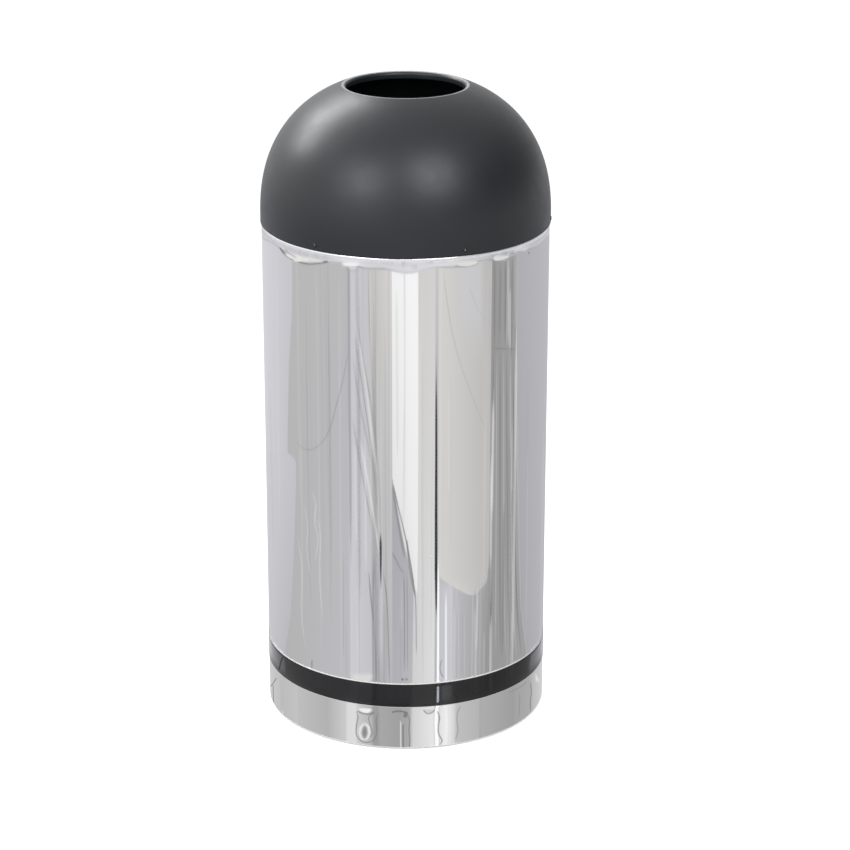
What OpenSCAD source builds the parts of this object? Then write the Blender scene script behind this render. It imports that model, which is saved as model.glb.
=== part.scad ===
// Open top dome waste bin: a polished sheet steel body, a black spun dome that lifts off,
// and a galvanised liner with a wire bail that lifts out.
// Origin: centre of the footprint on the floor. +Z is up, -Y is the front, millimetres.

/* [Body] */
// Overall height of the bin
total_h = 863.6; // [700:0.1:1000]
// Outer diameter of the body
body_d = 381; // [340:1:440]
// Sheet thickness of the body
body_t = 0.9; // [0.7:0.05:1.1]
// Outer radius of the bead that the top edge is rolled into
bead_r = 3; // [2.5:0.25:4]
// Outer radius of the hem that the lower edge is rolled into
hem_r = 1.7; // [1.6:0.05:2]
// Space between the hem's inner leg and the bend of the base pan
hem_leg_clear = 0.3; // [0.2:0.1:1]
// Height of the hem above the floor
floor_gap = 1.5; // [1:0.25:4]
// Width of the folded seam inside the back of the body
seam_w = 9; // [6:0.5:14]
// How far the folded seam stands in from the wall
seam_rise = 1.8; // [1:0.1:2.5]
// Width of the joint line that the seam leaves outside
seam_line_w = 0.6; // [0.3:0.1:1]
// Depth of that joint line
seam_line_depth = 0.35; // [0.2:0.05:0.5]

/* [Top hoop] */
// Height of the stiffening hoop inside the body's mouth
hoop_h = 28; // [15:1:40]
// Thickness of the hoop
hoop_t = 1.2; // [0.8:0.1:2]
// Space between the rolled bead and the hoop
hoop_drop = 1.5; // [0.5:0.25:5]

/* [Accent band] */
// Height of the band's lower edge above the floor
band_z = 61.9; // [40:0.5:120]
// Height of the band
band_h = 35; // [20:1:50]
// Thickness of the band
band_t = 0.35; // [0.2:0.05:0.8]
// Width of the butt joint at the back of the band
band_joint_w = 0.6; // [0.3:0.1:2]

/* [Base] */
// Height of the base pan's top face above the floor
pan_z = 12.2; // [12:0.1:16]
// Sheet thickness of the base pan
pan_t = 1.2; // [0.9:0.05:1.2]
// Outer bend radius between the pan and its flange
pan_bend_r = 3; // [2:0.25:4]
// Diameter of a glide at the floor
glide_d = 28; // [22:1:40]
// How much a glide narrows towards the pan, on the diameter
glide_taper = 4; // [0:0.5:8]
// Distance from the body's outer face to a glide's centre
glide_inset = 40; // [30:1:60]
// Diameter of the recess in a glide that hides the rivet head
glide_recess_d = 13; // [12:0.5:18]
// Depth of that recess
glide_recess_h = 3.5; // [2.5:0.25:5]
// Diameter of a base rivet's shank
base_rivet_d = 4.8; // [3:0.2:6]
// Diameter of a base rivet's heads
base_head_d = 9.5; // [8:0.5:11]
// Height of a base rivet's heads
base_head_h = 1.5; // [1:0.25:2.25]

/* [Dome] */
// How far the top of the dome stands above the body's rolled top edge
dome_rise = 180.6; // [120:0.2:230]
// How far the dome stands out past the body, all round
dome_overhang = 1.5; // [0.5:0.25:3]
// Sheet thickness of the dome
dome_t = 1; // [0.8:0.05:1.1]
// Height of the upright skirt under the dome's curve
skirt_h = 9.2; // [9:0.1:20]
// Fullness of the dome's curve, 2 for a plain ellipse
dome_fullness = 2.29; // [2:0.01:2.6]
// Clear diameter of the opening
opening_d = 155.6; // [120:0.2:200]
// Outer radius of the bend at the opening's lip
lip_r = 4.6; // [3:0.2:8]
// Lean of the dome's surface where the lip begins, in degrees
lip_lean = 20; // [5:1:30]
// Depth of the collar that is turned down into the opening
collar_h = 10; // [9:0.5:20]
// Outer radius of the hem at the collar's lower edge
collar_hem_r = 1.5; // [1.2:0.05:1.8]
// Height of the collar hem's folded leg
collar_leg_h = 2.5; // [1:0.5:4]

/* [Dome ring] */
// Sheet thickness of the ring inside the dome's skirt
ring_t = 1; // [0.8:0.05:1.2]
// Height of the ring's flange inside the skirt
ring_flange_h = 12.5; // [10.5:0.5:14]
// How far the ring reaches down into the body
ring_reach = 19.3; // [12:0.5:30]
// Slope at the ring's lower edge that guides it in
ring_lead = 2; // [1:0.25:3]
// Clearance between the ring and the body's bead
ring_clear = 0.5; // [0.3:0.1:1]
// Bend radius above the bead
ring_bend_r = 0.8; // [0.5:0.1:1.2]
// Outer bend radius between the ledge and the flange
ring_corner_r = 1.5; // [1.3:0.1:2]

/* [Dome rivets] */
// Number of rivets round the skirt
rivet_count = 6; // [4:1:12]
// Turn of the first rivet from the front, in degrees
rivet_turn = 23; // [0:1:59]
// Height of the rivets above the skirt's lower edge
rivet_rise = 6.7; // [6:0.1:7]
// Diameter of a rivet's shank
rivet_d = 4; // [3:0.1:4.4]
// Diameter of a rivet's head
rivet_head_d = 6.4; // [5:0.2:8]
// Height of a rivet's head
rivet_head_h = 1.1; // [0.8:0.1:1.6]
// Diameter of the pit that the pulled pin leaves in the head
rivet_pit_d = 2.4; // [1.5:0.1:2.8]
// Diameter of a rivet's blind end
rivet_tail_d = 5.6; // [5:0.1:7]
// Length of a rivet's blind end
rivet_tail_l = 3.2; // [2:0.2:5]

/* [Liner] */
// Sheet thickness of the liner
liner_t = 0.7; // [0.6:0.05:0.9]
// Space between the dome ring and the liner's rim
liner_top_clear = 16.5; // [10:0.5:40]
// Diameter of the wire inside the liner's rim
rim_wire_d = 3.6; // [3:0.1:4.4]
// How far the liner's bottom stands above its foot
bottom_rise = 8; // [6:0.5:15]
// Height of the foot seam's outer leg
foot_leg_h = 6; // [4:0.5:12]
// Bend radius between the liner's bottom and its foot
foot_bend_r = 1.5; // [0.8:0.1:2.5]
// Width of the liner's folded side seam
liner_seam_w = 8; // [5:0.5:12]
// How far the liner's side seam stands proud
liner_seam_rise = 0.8; // [0.5:0.1:1.2]
// Turn of the liner's side seam from the right hand side, in degrees
liner_seam_turn = 45; // [30:1:60]

/* [Bail and ears] */
// Diameter of the bail's wire
bail_wire_d = 4; // [3:0.2:5]
// Clearance between the bail and the body's bead as the liner lifts out
lift_clear = 3; // [2:0.25:6]
// Diameter of the eye that each of the bail's ends is forged into
bail_eye_d = 6.4; // [5.6:0.2:8]
// How far the eye's faces stand past the wire
bail_eye_rise = 0.3; // [0.1:0.05:0.6]
// Clearance between the bail and the ears
ear_clear = 1.15; // [0.8:0.05:2]
// Sheet thickness of an ear
ear_t = 1.2; // [1:0.1:1.6]
// How far an ear's bridge stands off the liner
ear_rise = 3.8; // [3.4:0.1:5]
// Height of an ear
ear_h = 16; // [12:0.5:20]
// Width of an ear's bridge
ear_bridge_w = 16; // [13:0.5:20]
// Width of each of an ear's two feet
ear_foot_w = 11; // [10:0.5:14]
// Space between the rim and an ear
ear_gap = 2.4; // [1:0.2:5]
// Diameter of the bail's flattened ends
bail_head_d = 6.8; // [6:0.2:8]
// Thickness of the bail's flattened ends
bail_head_t = 1.2; // [0.8:0.1:1.6]
// Diameter of an ear rivet's shank
ear_rivet_d = 4; // [3:0.2:4.6]
// Diameter of an ear rivet's heads
ear_head_d = 7; // [6:0.2:8]
// Height of an ear rivet's heads
ear_head_h = 1.2; // [0.8:0.1:2]

/* [Clearances] */
// Space between fitted pieces that are fastened together
fit_gap = 0.05; // [0.03:0.01:0.08]
// Space between the body or the dome's skirt and a sheet that is fitted into or round it
sheet_gap = 0.2; // [0.15:0.05:0.3]
// Radial clearance of the bail's ends in the ears
bail_fit = 0.08; // [0.03:0.01:0.1]
// Space under a piece that rests on another and lifts off
seat_gap = 0.3; // [0.2:0.05:0.5]

/* [Hidden] */

// Overrun of every cut past the face that it opens
cut = 1;
// Facets of large and small rounds in a preview, both true circles when rebuilt
large_fn = 96;
small_fn = 32;
// Steps along the dome's curve, and along a bend
dome_steps = 36;
bend_steps = 8;
// Angles where the rolled bead and the rim's roll end
bead_end = 250;
rim_roll_end = -120;
// Turns of the back, of a glide and of an ear from +X, in degrees
back_turn = 90;
front_turn = -90;
quarter_turn = 90;
half_turn = 180;

body_r = body_d / 2;
body_in_r = body_r - body_t;
mouth_r = body_r - 2 * bead_r;
body_top_z = total_h - dome_rise;
seat_z = body_top_z + seat_gap;
hoop_top_z = body_top_z - 2 * bead_r - hoop_drop;

// The pan's flange hangs between the wall and the hem's leg, with its edge just over the hem's bend
pan_r = body_in_r - sheet_gap;
pan_edge_z = floor_gap + hem_r + sheet_gap;
pan_flange_t = min(pan_t, 2 * hem_r - 2 * body_t - 2 * sheet_gap);
pan_under_z = pan_z - pan_t;
glide_r = body_r - glide_inset;

// The dome's curve runs from the skirt to the point where the lip's bend begins
dome_r = body_r + dome_overhang;
curve_z = seat_z + skirt_h;
opening_r = opening_d / 2;
lip_c = [opening_r + lip_r, total_h - lip_r];
lip_start_turn = 90 - lip_lean;
lip_start = lip_c + lip_r * [cos(lip_start_turn), sin(lip_start_turn)];
curve_h = (lip_start[1] - curve_z)
    / pow(1 - pow(lip_start[0] / dome_r, dome_fullness), 1 / dome_fullness);
curve_end = acos(pow(lip_start[0] / dome_r, dome_fullness / 2));
collar_z = total_h - collar_h;

// The ring's flange fits the skirt, its ledge rests over the bead and its reach fits the mouth
flange_r = dome_r - dome_t - sheet_gap;
reach_r = mouth_r - ring_clear;
reach_z = seat_z - ring_reach;
rivet_z = seat_z + rivet_rise;

// The liner's sizes run inwards from the bail, which has to pass the body's mouth
bail_r = mouth_r - lift_clear - bail_wire_d / 2;
eye_t = bail_wire_d + 2 * bail_eye_rise;
bridge_r = bail_r - eye_t / 2 - ear_clear;
ear_in_r = bridge_r - ear_t - ear_rise;
liner_r = ear_in_r - fit_gap;
foot_z = pan_z + seat_gap;
rim_bore_r = rim_wire_d / 2 + fit_gap;
rim_roll_r = rim_bore_r + liner_t;
rim_c = [liner_r + rim_bore_r, reach_z - liner_top_clear - rim_roll_r];
foot_r = 1.5 * liner_t + fit_gap;
foot_in_r = liner_r - 2 * liner_t - fit_gap;
pivot_z = rim_c[1] - rim_roll_r - ear_gap - ear_h / 2;
// Turn of an ear's rivet from the ear's middle, so that it sits in the middle of a foot
ear_rivet_turn = asin((ear_bridge_w + ear_foot_w) / 2 / ear_in_r);

// Points along an arc about c, from angle a0 to angle a1
function arc(c, r, a0, a1, steps = bend_steps) =
    [for (i = [0:steps]) let (a = a0 + (a1 - a0) * i / steps) c + r * [cos(a), sin(a)]];
// Left hand side of the way from p to q
function left(p, q) = [p[1] - q[1], q[0] - p[0]] / norm(q - p);
// Offset at point i of a path that keeps both neighbouring stretches at distance 1
function mitre(path, i) =
    let (a = left(path[max(i - 1, 0)], path[max(i, 1)]),
        last = len(path) - 1,
        b = left(path[min(i, last - 1)], path[min(i + 1, last)]))
    (a + b) / (1 + a * b);
// Outline of a sheet of thickness t that lies to the left of a path
function sheet(path, t) =
    concat(path, [for (i = [len(path) - 1:-1:0]) path[i] + t * mitre(path, i)]);

// A bent sheet, turned round the Z axis
module spun(path, t) {
    rotate_extrude($fn = large_fn)
        polygon(sheet(path, t));
}

// A plain upright tube
module tube(r, t, z, h) {
    translate([0, 0, z])
        difference() {
            cylinder(r = r, h = h, $fn = large_fn);
            translate([0, 0, -cut])
                cylinder(r = r - t, h = h + 2 * cut, $fn = large_fn);
        }
}

// A box that starts at radius r in the direction of turn and is centred across it
module radial_box(turn, r, z, size) {
    rotate([0, 0, turn])
        translate([r, -size[1] / 2, z])
            cube(size);
}

// Stands children at radius r with their +Z pointing outwards
module radial(turn, r, z) {
    rotate([0, 0, turn])
        translate([r, 0, z])
            rotate([0, 90, 0])
                children();
}

// A low rounded rivet head on the XY plane
module rivet_head(d, h) {
    rim = [for (p = arc([0, 0], 1, 0, 90)) [p[0] * d / 2, p[1] * h]];
    rotate_extrude($fn = small_fn)
        polygon(concat([[0, 0]], rim));
}

// Body: hem, wall and rolled bead in one sheet, with a folded seam at the back
module body_shell() {
    hem_c = [body_r - hem_r, floor_gap + hem_r];
    bead_c = [body_r - bead_r, body_top_z - bead_r];
    hem_in_r = body_r - 2 * hem_r;
    hem_leg_z = pan_z - pan_bend_r - hem_leg_clear;
    fold_z = pan_z + seat_gap;
    fold_h = hoop_top_z - hoop_h - hoop_drop - fold_z;
    wall_z = hem_c[1];
    wall_h = bead_c[1] - wall_z;
    color([0.78, 0.79, 0.81])
        difference() {
            union() {
                spun(concat([[hem_in_r, hem_leg_z]], arc(hem_c, hem_r, 180, 360),
                    arc(bead_c, bead_r, 0, bead_end, 2 * bend_steps)), body_t);
                intersection() {
                    tube(body_r - body_t / 2, body_t / 2 + seam_rise, fold_z, fold_h);
                    radial_box(back_turn, body_in_r - seam_rise - cut, fold_z,
                        [seam_rise + body_t + cut, seam_w, fold_h]);
                }
            }
            radial_box(back_turn, body_r - seam_line_depth, wall_z,
                [seam_line_depth + cut, seam_line_w, wall_h]);
        }
}

// Hoop welded inside the body under the bead, where the dome's ring comes down
module top_hoop() {
    color([0.6, 0.61, 0.63])
        tube(body_in_r - sheet_gap, hoop_t, hoop_top_z - hoop_h, hoop_h);
}

// Black band round the foot of the body, butted at the back
module accent_band() {
    band_r = body_r + sheet_gap + band_t;
    color([0.08, 0.08, 0.09])
        difference() {
            tube(band_r, band_t, band_z, band_h);
            radial_box(back_turn, body_r - cut, band_z - cut,
                [band_t + sheet_gap + 2 * cut, band_joint_w, band_h + 2 * cut]);
        }
}

// Stands children at each glide's centre
module at_glides() {
    for (i = [0:3])
        rotate([0, 0, i * quarter_turn])
            translate([glide_r, 0, 0])
                children();
}

// Base pan whose flange is locked between the wall and the hem
module base_pan() {
    bend_c = [pan_r - pan_bend_r, pan_z - pan_bend_r];
    color([0.62, 0.63, 0.65])
        difference() {
            union() {
                rotate_extrude($fn = large_fn)
                    polygon(concat([[pan_r - pan_flange_t, pan_edge_z], [pan_r, pan_edge_z]],
                        arc(bend_c, pan_bend_r, 0, 90),
                        [[0, pan_z], [0, pan_under_z]],
                        arc(bend_c, pan_bend_r - pan_flange_t, 90, 0)));
            }
            at_glides()
                translate([0, 0, pan_under_z - cut])
                    cylinder(d = base_rivet_d + 2 * fit_gap, h = pan_t + 2 * cut, $fn = small_fn);
        }
}

// Moulded glide with a recess for its rivet
module base_glide(turn) {
    color([0.12, 0.12, 0.13])
        rotate([0, 0, turn])
            translate([glide_r, 0, 0])
                difference() {
                    cylinder(d1 = glide_d, d2 = glide_d - glide_taper, h = pan_under_z,
                        $fn = small_fn);
                    translate([0, 0, -cut])
                        cylinder(d = base_rivet_d + 2 * fit_gap, h = pan_under_z + 2 * cut,
                            $fn = small_fn);
                    translate([0, 0, -cut])
                        cylinder(d = glide_recess_d, h = glide_recess_h + cut, $fn = small_fn);
                }
}

// Rivets that hold the glides to the base pan
module base_rivets() {
    color([0.66, 0.67, 0.69])
        at_glides() {
            translate([0, 0, glide_recess_h])
                cylinder(d = base_rivet_d, h = pan_z - glide_recess_h, $fn = small_fn);
            translate([0, 0, pan_z])
                rivet_head(base_head_d, base_head_h);
            translate([0, 0, glide_recess_h])
                mirror([0, 0, 1])
                    rivet_head(base_head_d, base_head_h);
        }
}

// Stands children at each dome rivet, with +Z pointing outwards
module at_dome_rivets(r) {
    for (i = [0:rivet_count - 1])
        radial(front_turn + rivet_turn + i * 360 / rivet_count, r, rivet_z)
            children();
}

// Dome: skirt, curved crown, turned down collar and its hem in one sheet
module dome_shell() {
    power = 2 / dome_fullness;
    curve = [for (i = [0:dome_steps]) let (a = curve_end * i / dome_steps)
        [dome_r * pow(cos(a), power), curve_z + curve_h * pow(sin(a), power)]];
    lip = arc(lip_c, lip_r, lip_start_turn, 180);
    lip_rest = [for (i = [1:bend_steps]) lip[i]];
    hem_c = [opening_r + collar_hem_r, collar_z + collar_hem_r];
    hem_end = [opening_r + 2 * collar_hem_r, hem_c[1] + collar_leg_h];
    color([0.2, 0.21, 0.23])
        difference() {
            spun(concat([[dome_r, seat_z]], curve, lip_rest, arc(hem_c, collar_hem_r, 180, 360),
                [hem_end]), dome_t);
            at_dome_rivets(dome_r - dome_t - cut)
                cylinder(d = rivet_d + 2 * fit_gap, h = dome_t + 2 * cut, $fn = small_fn);
        }
}

// Ring riveted inside the skirt: it rests over the bead and keeps the dome central
module dome_ring() {
    color([0.16, 0.17, 0.18])
        difference() {
            spun(concat([[reach_r - ring_lead, reach_z], [reach_r, reach_z + ring_lead]],
                arc([reach_r + ring_bend_r, seat_z - ring_bend_r], ring_bend_r, 180, 90),
                arc([flange_r - ring_corner_r, seat_z + ring_corner_r], ring_corner_r, 270, 360),
                [[flange_r, seat_z + ring_flange_h]]), ring_t);
            at_dome_rivets(flange_r - ring_t - cut)
                cylinder(d = rivet_d + 2 * fit_gap, h = ring_t + 2 * cut, $fn = small_fn);
        }
}

// Blind rivets through the skirt and the ring
module dome_rivets() {
    tail_r = flange_r - ring_t - fit_gap - rivet_tail_l;
    color([0.1, 0.1, 0.11])
        at_dome_rivets(0)
            difference() {
                union() {
                    translate([0, 0, tail_r])
                        cylinder(d = rivet_tail_d, h = rivet_tail_l, $fn = small_fn);
                    translate([0, 0, tail_r])
                        cylinder(d = rivet_d, h = dome_r + fit_gap - tail_r, $fn = small_fn);
                    translate([0, 0, dome_r + fit_gap])
                        rivet_head(rivet_head_d, rivet_head_h);
                }
                translate([0, 0, dome_r])
                    cylinder(d = rivet_pit_d, h = rivet_head_h + fit_gap + cut, $fn = small_fn);
            }
}

// Stands children at each ear rivet, with +Z pointing outwards
module at_ear_rivets(r) {
    for (turn = [0, half_turn], side = [-1, 1])
        radial(turn + side * ear_rivet_turn, r, pivot_z)
            children();
}

// Liner wall with its rolled rim and folded side seam
module liner_wall() {
    wall_z = foot_z + foot_r + fit_gap;
    seam_z = foot_z + foot_r + foot_leg_h + fit_gap;
    seam_h = rim_c[1] - rim_roll_r - seat_gap - seam_z;
    color([0.68, 0.7, 0.71])
        difference() {
            union() {
                spun(concat([[liner_r, wall_z]],
                    arc(rim_c, rim_bore_r, 180, rim_roll_end, 2 * bend_steps)), liner_t);
                intersection() {
                    tube(liner_r + liner_seam_rise, liner_seam_rise + liner_t / 2, seam_z, seam_h);
                    radial_box(liner_seam_turn, liner_r - liner_t, seam_z,
                        [liner_t + liner_seam_rise + cut, liner_seam_w, seam_h]);
                }
            }
            at_ear_rivets(liner_r - liner_t - cut)
                cylinder(d = ear_rivet_d + 2 * fit_gap, h = liner_t + 2 * cut, $fn = small_fn);
        }
}

// Wire that the liner's rim is rolled round
module liner_rim_wire() {
    color([0.6, 0.61, 0.62])
        rotate_extrude($fn = large_fn)
            translate(rim_c)
                circle(d = rim_wire_d, $fn = small_fn);
}

// Liner bottom whose edge is folded round the wall's lower end
module liner_bottom() {
    under_z = foot_z + bottom_rise;
    color([0.64, 0.66, 0.67])
        spun(concat([[0, under_z]],
            arc([foot_in_r - foot_bend_r, under_z - foot_bend_r], foot_bend_r, 90, 0),
            arc([foot_in_r + foot_r, foot_z + foot_r], foot_r, 180, 360),
            [[foot_in_r + 2 * foot_r, foot_z + foot_r + foot_leg_h]]), liner_t);
}

// Ear: a bridge that holds the bail's end off the wall, between two riveted feet
module liner_ear(turn) {
    ear_w = ear_bridge_w + 2 * ear_foot_w;
    ear_z = pivot_z - ear_h / 2;
    deep = bridge_r - ear_in_r;
    color([0.62, 0.63, 0.64])
        rotate([0, 0, turn])
            difference() {
                union() {
                    intersection() {
                        tube(ear_in_r + ear_t, ear_t, ear_z, ear_h);
                        radial_box(0, ear_in_r - deep, ear_z, [3 * deep, ear_w, ear_h]);
                    }
                    intersection() {
                        tube(bridge_r, deep, ear_z, ear_h);
                        radial_box(0, ear_in_r - deep, ear_z, [3 * deep, ear_bridge_w, ear_h]);
                    }
                }
                intersection() {
                    translate([0, 0, ear_z - cut])
                        cylinder(r = bridge_r - ear_t, h = ear_h + 2 * cut, $fn = large_fn);
                    radial_box(0, ear_in_r - deep, ear_z - cut,
                        [3 * deep, ear_bridge_w - 2 * ear_t, ear_h + 2 * cut]);
                }
                radial(0, ear_in_r, pivot_z)
                    cylinder(d = bail_wire_d + 2 * bail_fit, h = deep + cut, $fn = small_fn);
                for (side = [-1, 1])
                    radial(side * ear_rivet_turn, ear_in_r - cut, pivot_z)
                        cylinder(d = ear_rivet_d + 2 * fit_gap, h = ear_t + 2 * cut,
                            $fn = small_fn);
            }
}

// Rivets that hold the ears to the liner
module ear_rivets() {
    inner_r = liner_r - liner_t - 2 * fit_gap;
    outer_r = ear_in_r + ear_t + fit_gap;
    color([0.7, 0.71, 0.72])
        at_ear_rivets(0) {
            translate([0, 0, inner_r])
                cylinder(d = ear_rivet_d, h = outer_r - inner_r, $fn = small_fn);
            translate([0, 0, outer_r])
                rivet_head(ear_head_d, ear_head_h);
            translate([0, 0, inner_r])
                mirror([0, 0, 1])
                    rivet_head(ear_head_d, ear_head_h);
        }
}

// Wire bail, lying level round the back of the liner, with an eye and a headed pin at each end
module liner_bail() {
    head_r = bridge_r - ear_t - seat_gap - bail_head_t;
    color([0.72, 0.73, 0.74]) {
        translate([0, 0, pivot_z])
            rotate_extrude(angle = 180, $fn = large_fn)
                translate([bail_r, 0])
                    circle(d = bail_wire_d, $fn = small_fn);
        for (turn = [0, half_turn]) {
            radial(turn, bail_r - eye_t / 2, pivot_z)
                cylinder(d = bail_eye_d, h = eye_t, $fn = small_fn);
            radial(turn, head_r, pivot_z)
                cylinder(d = bail_wire_d, h = bail_r - head_r, $fn = small_fn);
            radial(turn, head_r, pivot_z)
                cylinder(d = bail_head_d, h = bail_head_t, $fn = small_fn);
        }
    }
}

body_shell();
top_hoop();
accent_band();
base_pan();
base_glide(front_turn);  // glide_front
base_glide(0);  // glide_right
base_glide(back_turn);  // glide_back
base_glide(half_turn);  // glide_left
base_rivets();
dome_shell();
dome_ring();
dome_rivets();
liner_wall();
liner_rim_wire();
liner_bottom();
liner_ear(0);  // ear_right
liner_ear(half_turn);  // ear_left
ear_rivets();
liner_bail();
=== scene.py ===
"""Looks of the open top waste bin: polished body, black dome and band, galvanised liner.

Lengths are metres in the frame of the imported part: +Z up, -Y the front, the origin on the floor.
"""

import random
from math import acos, ceil, cos, pi, radians, sin, sqrt

import bpy
import numpy as np
from mathutils import Matrix, Vector


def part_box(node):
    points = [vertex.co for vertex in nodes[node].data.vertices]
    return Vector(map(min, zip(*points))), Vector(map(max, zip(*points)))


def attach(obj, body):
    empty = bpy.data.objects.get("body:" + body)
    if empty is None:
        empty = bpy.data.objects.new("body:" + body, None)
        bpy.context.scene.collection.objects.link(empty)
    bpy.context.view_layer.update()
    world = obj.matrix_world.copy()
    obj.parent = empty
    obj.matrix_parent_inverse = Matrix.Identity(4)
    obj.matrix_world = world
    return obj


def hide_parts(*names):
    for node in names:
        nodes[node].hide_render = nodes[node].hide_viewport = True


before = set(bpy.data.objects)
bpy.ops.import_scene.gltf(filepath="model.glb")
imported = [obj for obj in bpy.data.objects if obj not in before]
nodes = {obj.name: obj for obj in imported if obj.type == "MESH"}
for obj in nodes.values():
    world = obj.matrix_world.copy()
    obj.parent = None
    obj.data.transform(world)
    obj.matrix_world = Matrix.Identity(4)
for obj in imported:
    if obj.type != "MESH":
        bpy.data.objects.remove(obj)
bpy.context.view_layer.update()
MM = 0.001
TURN = 2 * pi
FRONT = -pi / 2
BACK = pi / 2
TINY = 1e-6


def reach_of(name):
    """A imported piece's lowest and highest place, and its reach along +X."""
    low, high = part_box(name)
    return low.z, high.z, high.x


BODY_LOW, BODY_TOP, BODY_R = reach_of("body_shell")
BAND_LOW, BAND_HIGH, BAND_R = reach_of("accent_band")
HOOP_LOW, HOOP_HIGH, HOOP_R = reach_of("top_hoop")
PAN_EDGE, PAN_TOP, PAN_R = reach_of("base_pan")
RING_LOW, RING_HIGH, RING_R = reach_of("dome_ring")
SEAT_Z, TOP_Z, _ = reach_of("dome_shell")
DOME_R = -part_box("dome_shell")[0].x
FOOT_LOW = reach_of("liner_bottom")[0]
LINER_LOW, LINER_RIM, _ = reach_of("liner_wall")


def arc(centre, radius, start, end, steps):
    """Points along an arc in the (r, z) plane, angles in degrees."""
    angles = [radians(start + (end - start) * i / steps) for i in range(steps + 1)]
    return [(centre[0] + radius * cos(a), centre[1] + radius * sin(a)) for a in angles]


def line(start, end, steps):
    """Points along a straight line in the (r, z) plane, without its last one."""
    return [
        (start[0] + (end[0] - start[0]) * i / steps, start[1] + (end[1] - start[1]) * i / steps)
        for i in range(steps)
    ]


def spread(low, high, pitch):
    """Even values from low up to but not including high, about a pitch apart."""
    count = max(1, round((high - low) / pitch))
    return [low + (high - low) * i / count for i in range(count)]


def even_turns(count):
    """Angles round the axis, in radians from +X."""
    return np.arange(count) * TURN / count


def turn_gap(turns, centre):
    """Signed angle from centre to each turn, between -pi and pi."""
    return (turns - centre + pi) % TURN - pi


def inner_side(path, thickness):
    """The other face of a bent sheet that lies to the left of a path, from its end to its start."""
    p = np.array(path)
    ahead = np.diff(p, axis=0)
    ahead /= np.linalg.norm(ahead, axis=1)[:, None]
    left = np.stack([-ahead[:, 1], ahead[:, 0]], axis=1)
    before, after = np.vstack([left[:1], left]), np.vstack([left, left[-1:]])
    mitre = (before + after) / (1 + (before * after).sum(axis=1))[:, None]
    return [tuple(q) for q in (p + thickness * mitre)[::-1]]


def add_object(name, data):
    """A new object in the scene."""
    made = bpy.data.objects.new(name, data)
    bpy.context.scene.collection.objects.link(made)
    return made


def make_object(name, points, faces, smooth_deg=35):
    """A mesh object with smooth shading that breaks at edges sharper than smooth_deg."""
    mesh = bpy.data.meshes.new(name)
    mesh.from_pydata([tuple(p) for p in points], [], faces)
    mesh.validate()
    mesh.shade_smooth()
    mesh.set_sharp_from_angle(angle=radians(smooth_deg))
    return add_object(name, mesh)


def bridge(rings, count, closed):
    """Faces between rings of vertices. A ring of one vertex is a disc's middle."""
    faces = []
    for a, b in zip(rings, rings[1:] + rings[:1] if closed else rings[1:]):
        for k in range(count):
            n = (k + 1) % count
            corners = [a[k % len(a)], a[n % len(a)], b[n % len(b)], b[k % len(b)]]
            faces.append(tuple(dict.fromkeys(corners)))
    return [f for f in faces if len(f) > 2]


def lathe(name, profile, turns, shape=None, smooth_deg=35):
    """Turns a closed profile of (r, z) points round Z. shape(i, angles, r, z) gives radii and heights
    per angle. A point at radius 0 is one vertex, so that discs close at the axis."""
    count = len(turns)
    points, rings = [], []
    for i, (r, z) in enumerate(profile):
        if r < TINY:
            rings.append([len(points)])
            points.append((0, 0, z))
            continue
        radii, heights = np.full(count, r), np.full(count, z)
        if shape:
            radii, heights = shape(i, turns, radii, heights)
        rings.append(list(range(len(points), len(points) + count)))
        points.extend(zip(radii * np.cos(turns), radii * np.sin(turns), heights))
    return make_object(name, points, bridge(rings, count, True), smooth_deg)


# Camera. The photograph was taken from EYE through an upright picture plane. Other views keep a
# camera's shift, so this camera has none and is turned down instead.
EYE = Vector((0, -3.589, 1.658))
EYE_PAN, EYE_TILT, EYE_ROLL = -0.00724, -0.3387, -0.0015
PICTURE = 850
FOCAL_PIXELS = 2805
SENSOR = 36
camera_data = bpy.data.cameras.new("camera")
camera_data.sensor_width = SENSOR
camera_data.lens = FOCAL_PIXELS / PICTURE * SENSOR
camera_data.clip_start = 0.05
camera_data.clip_end = 60
camera = add_object("camera", camera_data)
aim = Matrix.Translation(EYE)
for angle, axis in ((EYE_PAN, "Z"), (EYE_TILT, "X"), (EYE_ROLL, "Y"), (pi / 2, "X")):
    aim = aim @ Matrix.Rotation(angle, 4, axis)
camera.matrix_world = aim
bpy.context.scene.camera = camera


def set_inputs(node, values):
    """Sets a node's named inputs, with _ for each space of a name."""
    for socket, value in values.items():
        node.inputs[socket.replace("_", " ")].default_value = value


def add_node(tree, kind, out, *terms, operation=None, **values):
    """The named output of a new shader node. Its first inputs are terms, each a socket or a number."""
    made = tree.nodes.new("ShaderNode" + kind)
    if operation:
        made.operation = operation
    for i, term in enumerate(terms):
        if isinstance(term, float):
            made.inputs[i].default_value = term
        else:
            tree.links.new(term, made.inputs[i])
    set_inputs(made, values)
    return made.outputs[out] if out else made


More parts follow.
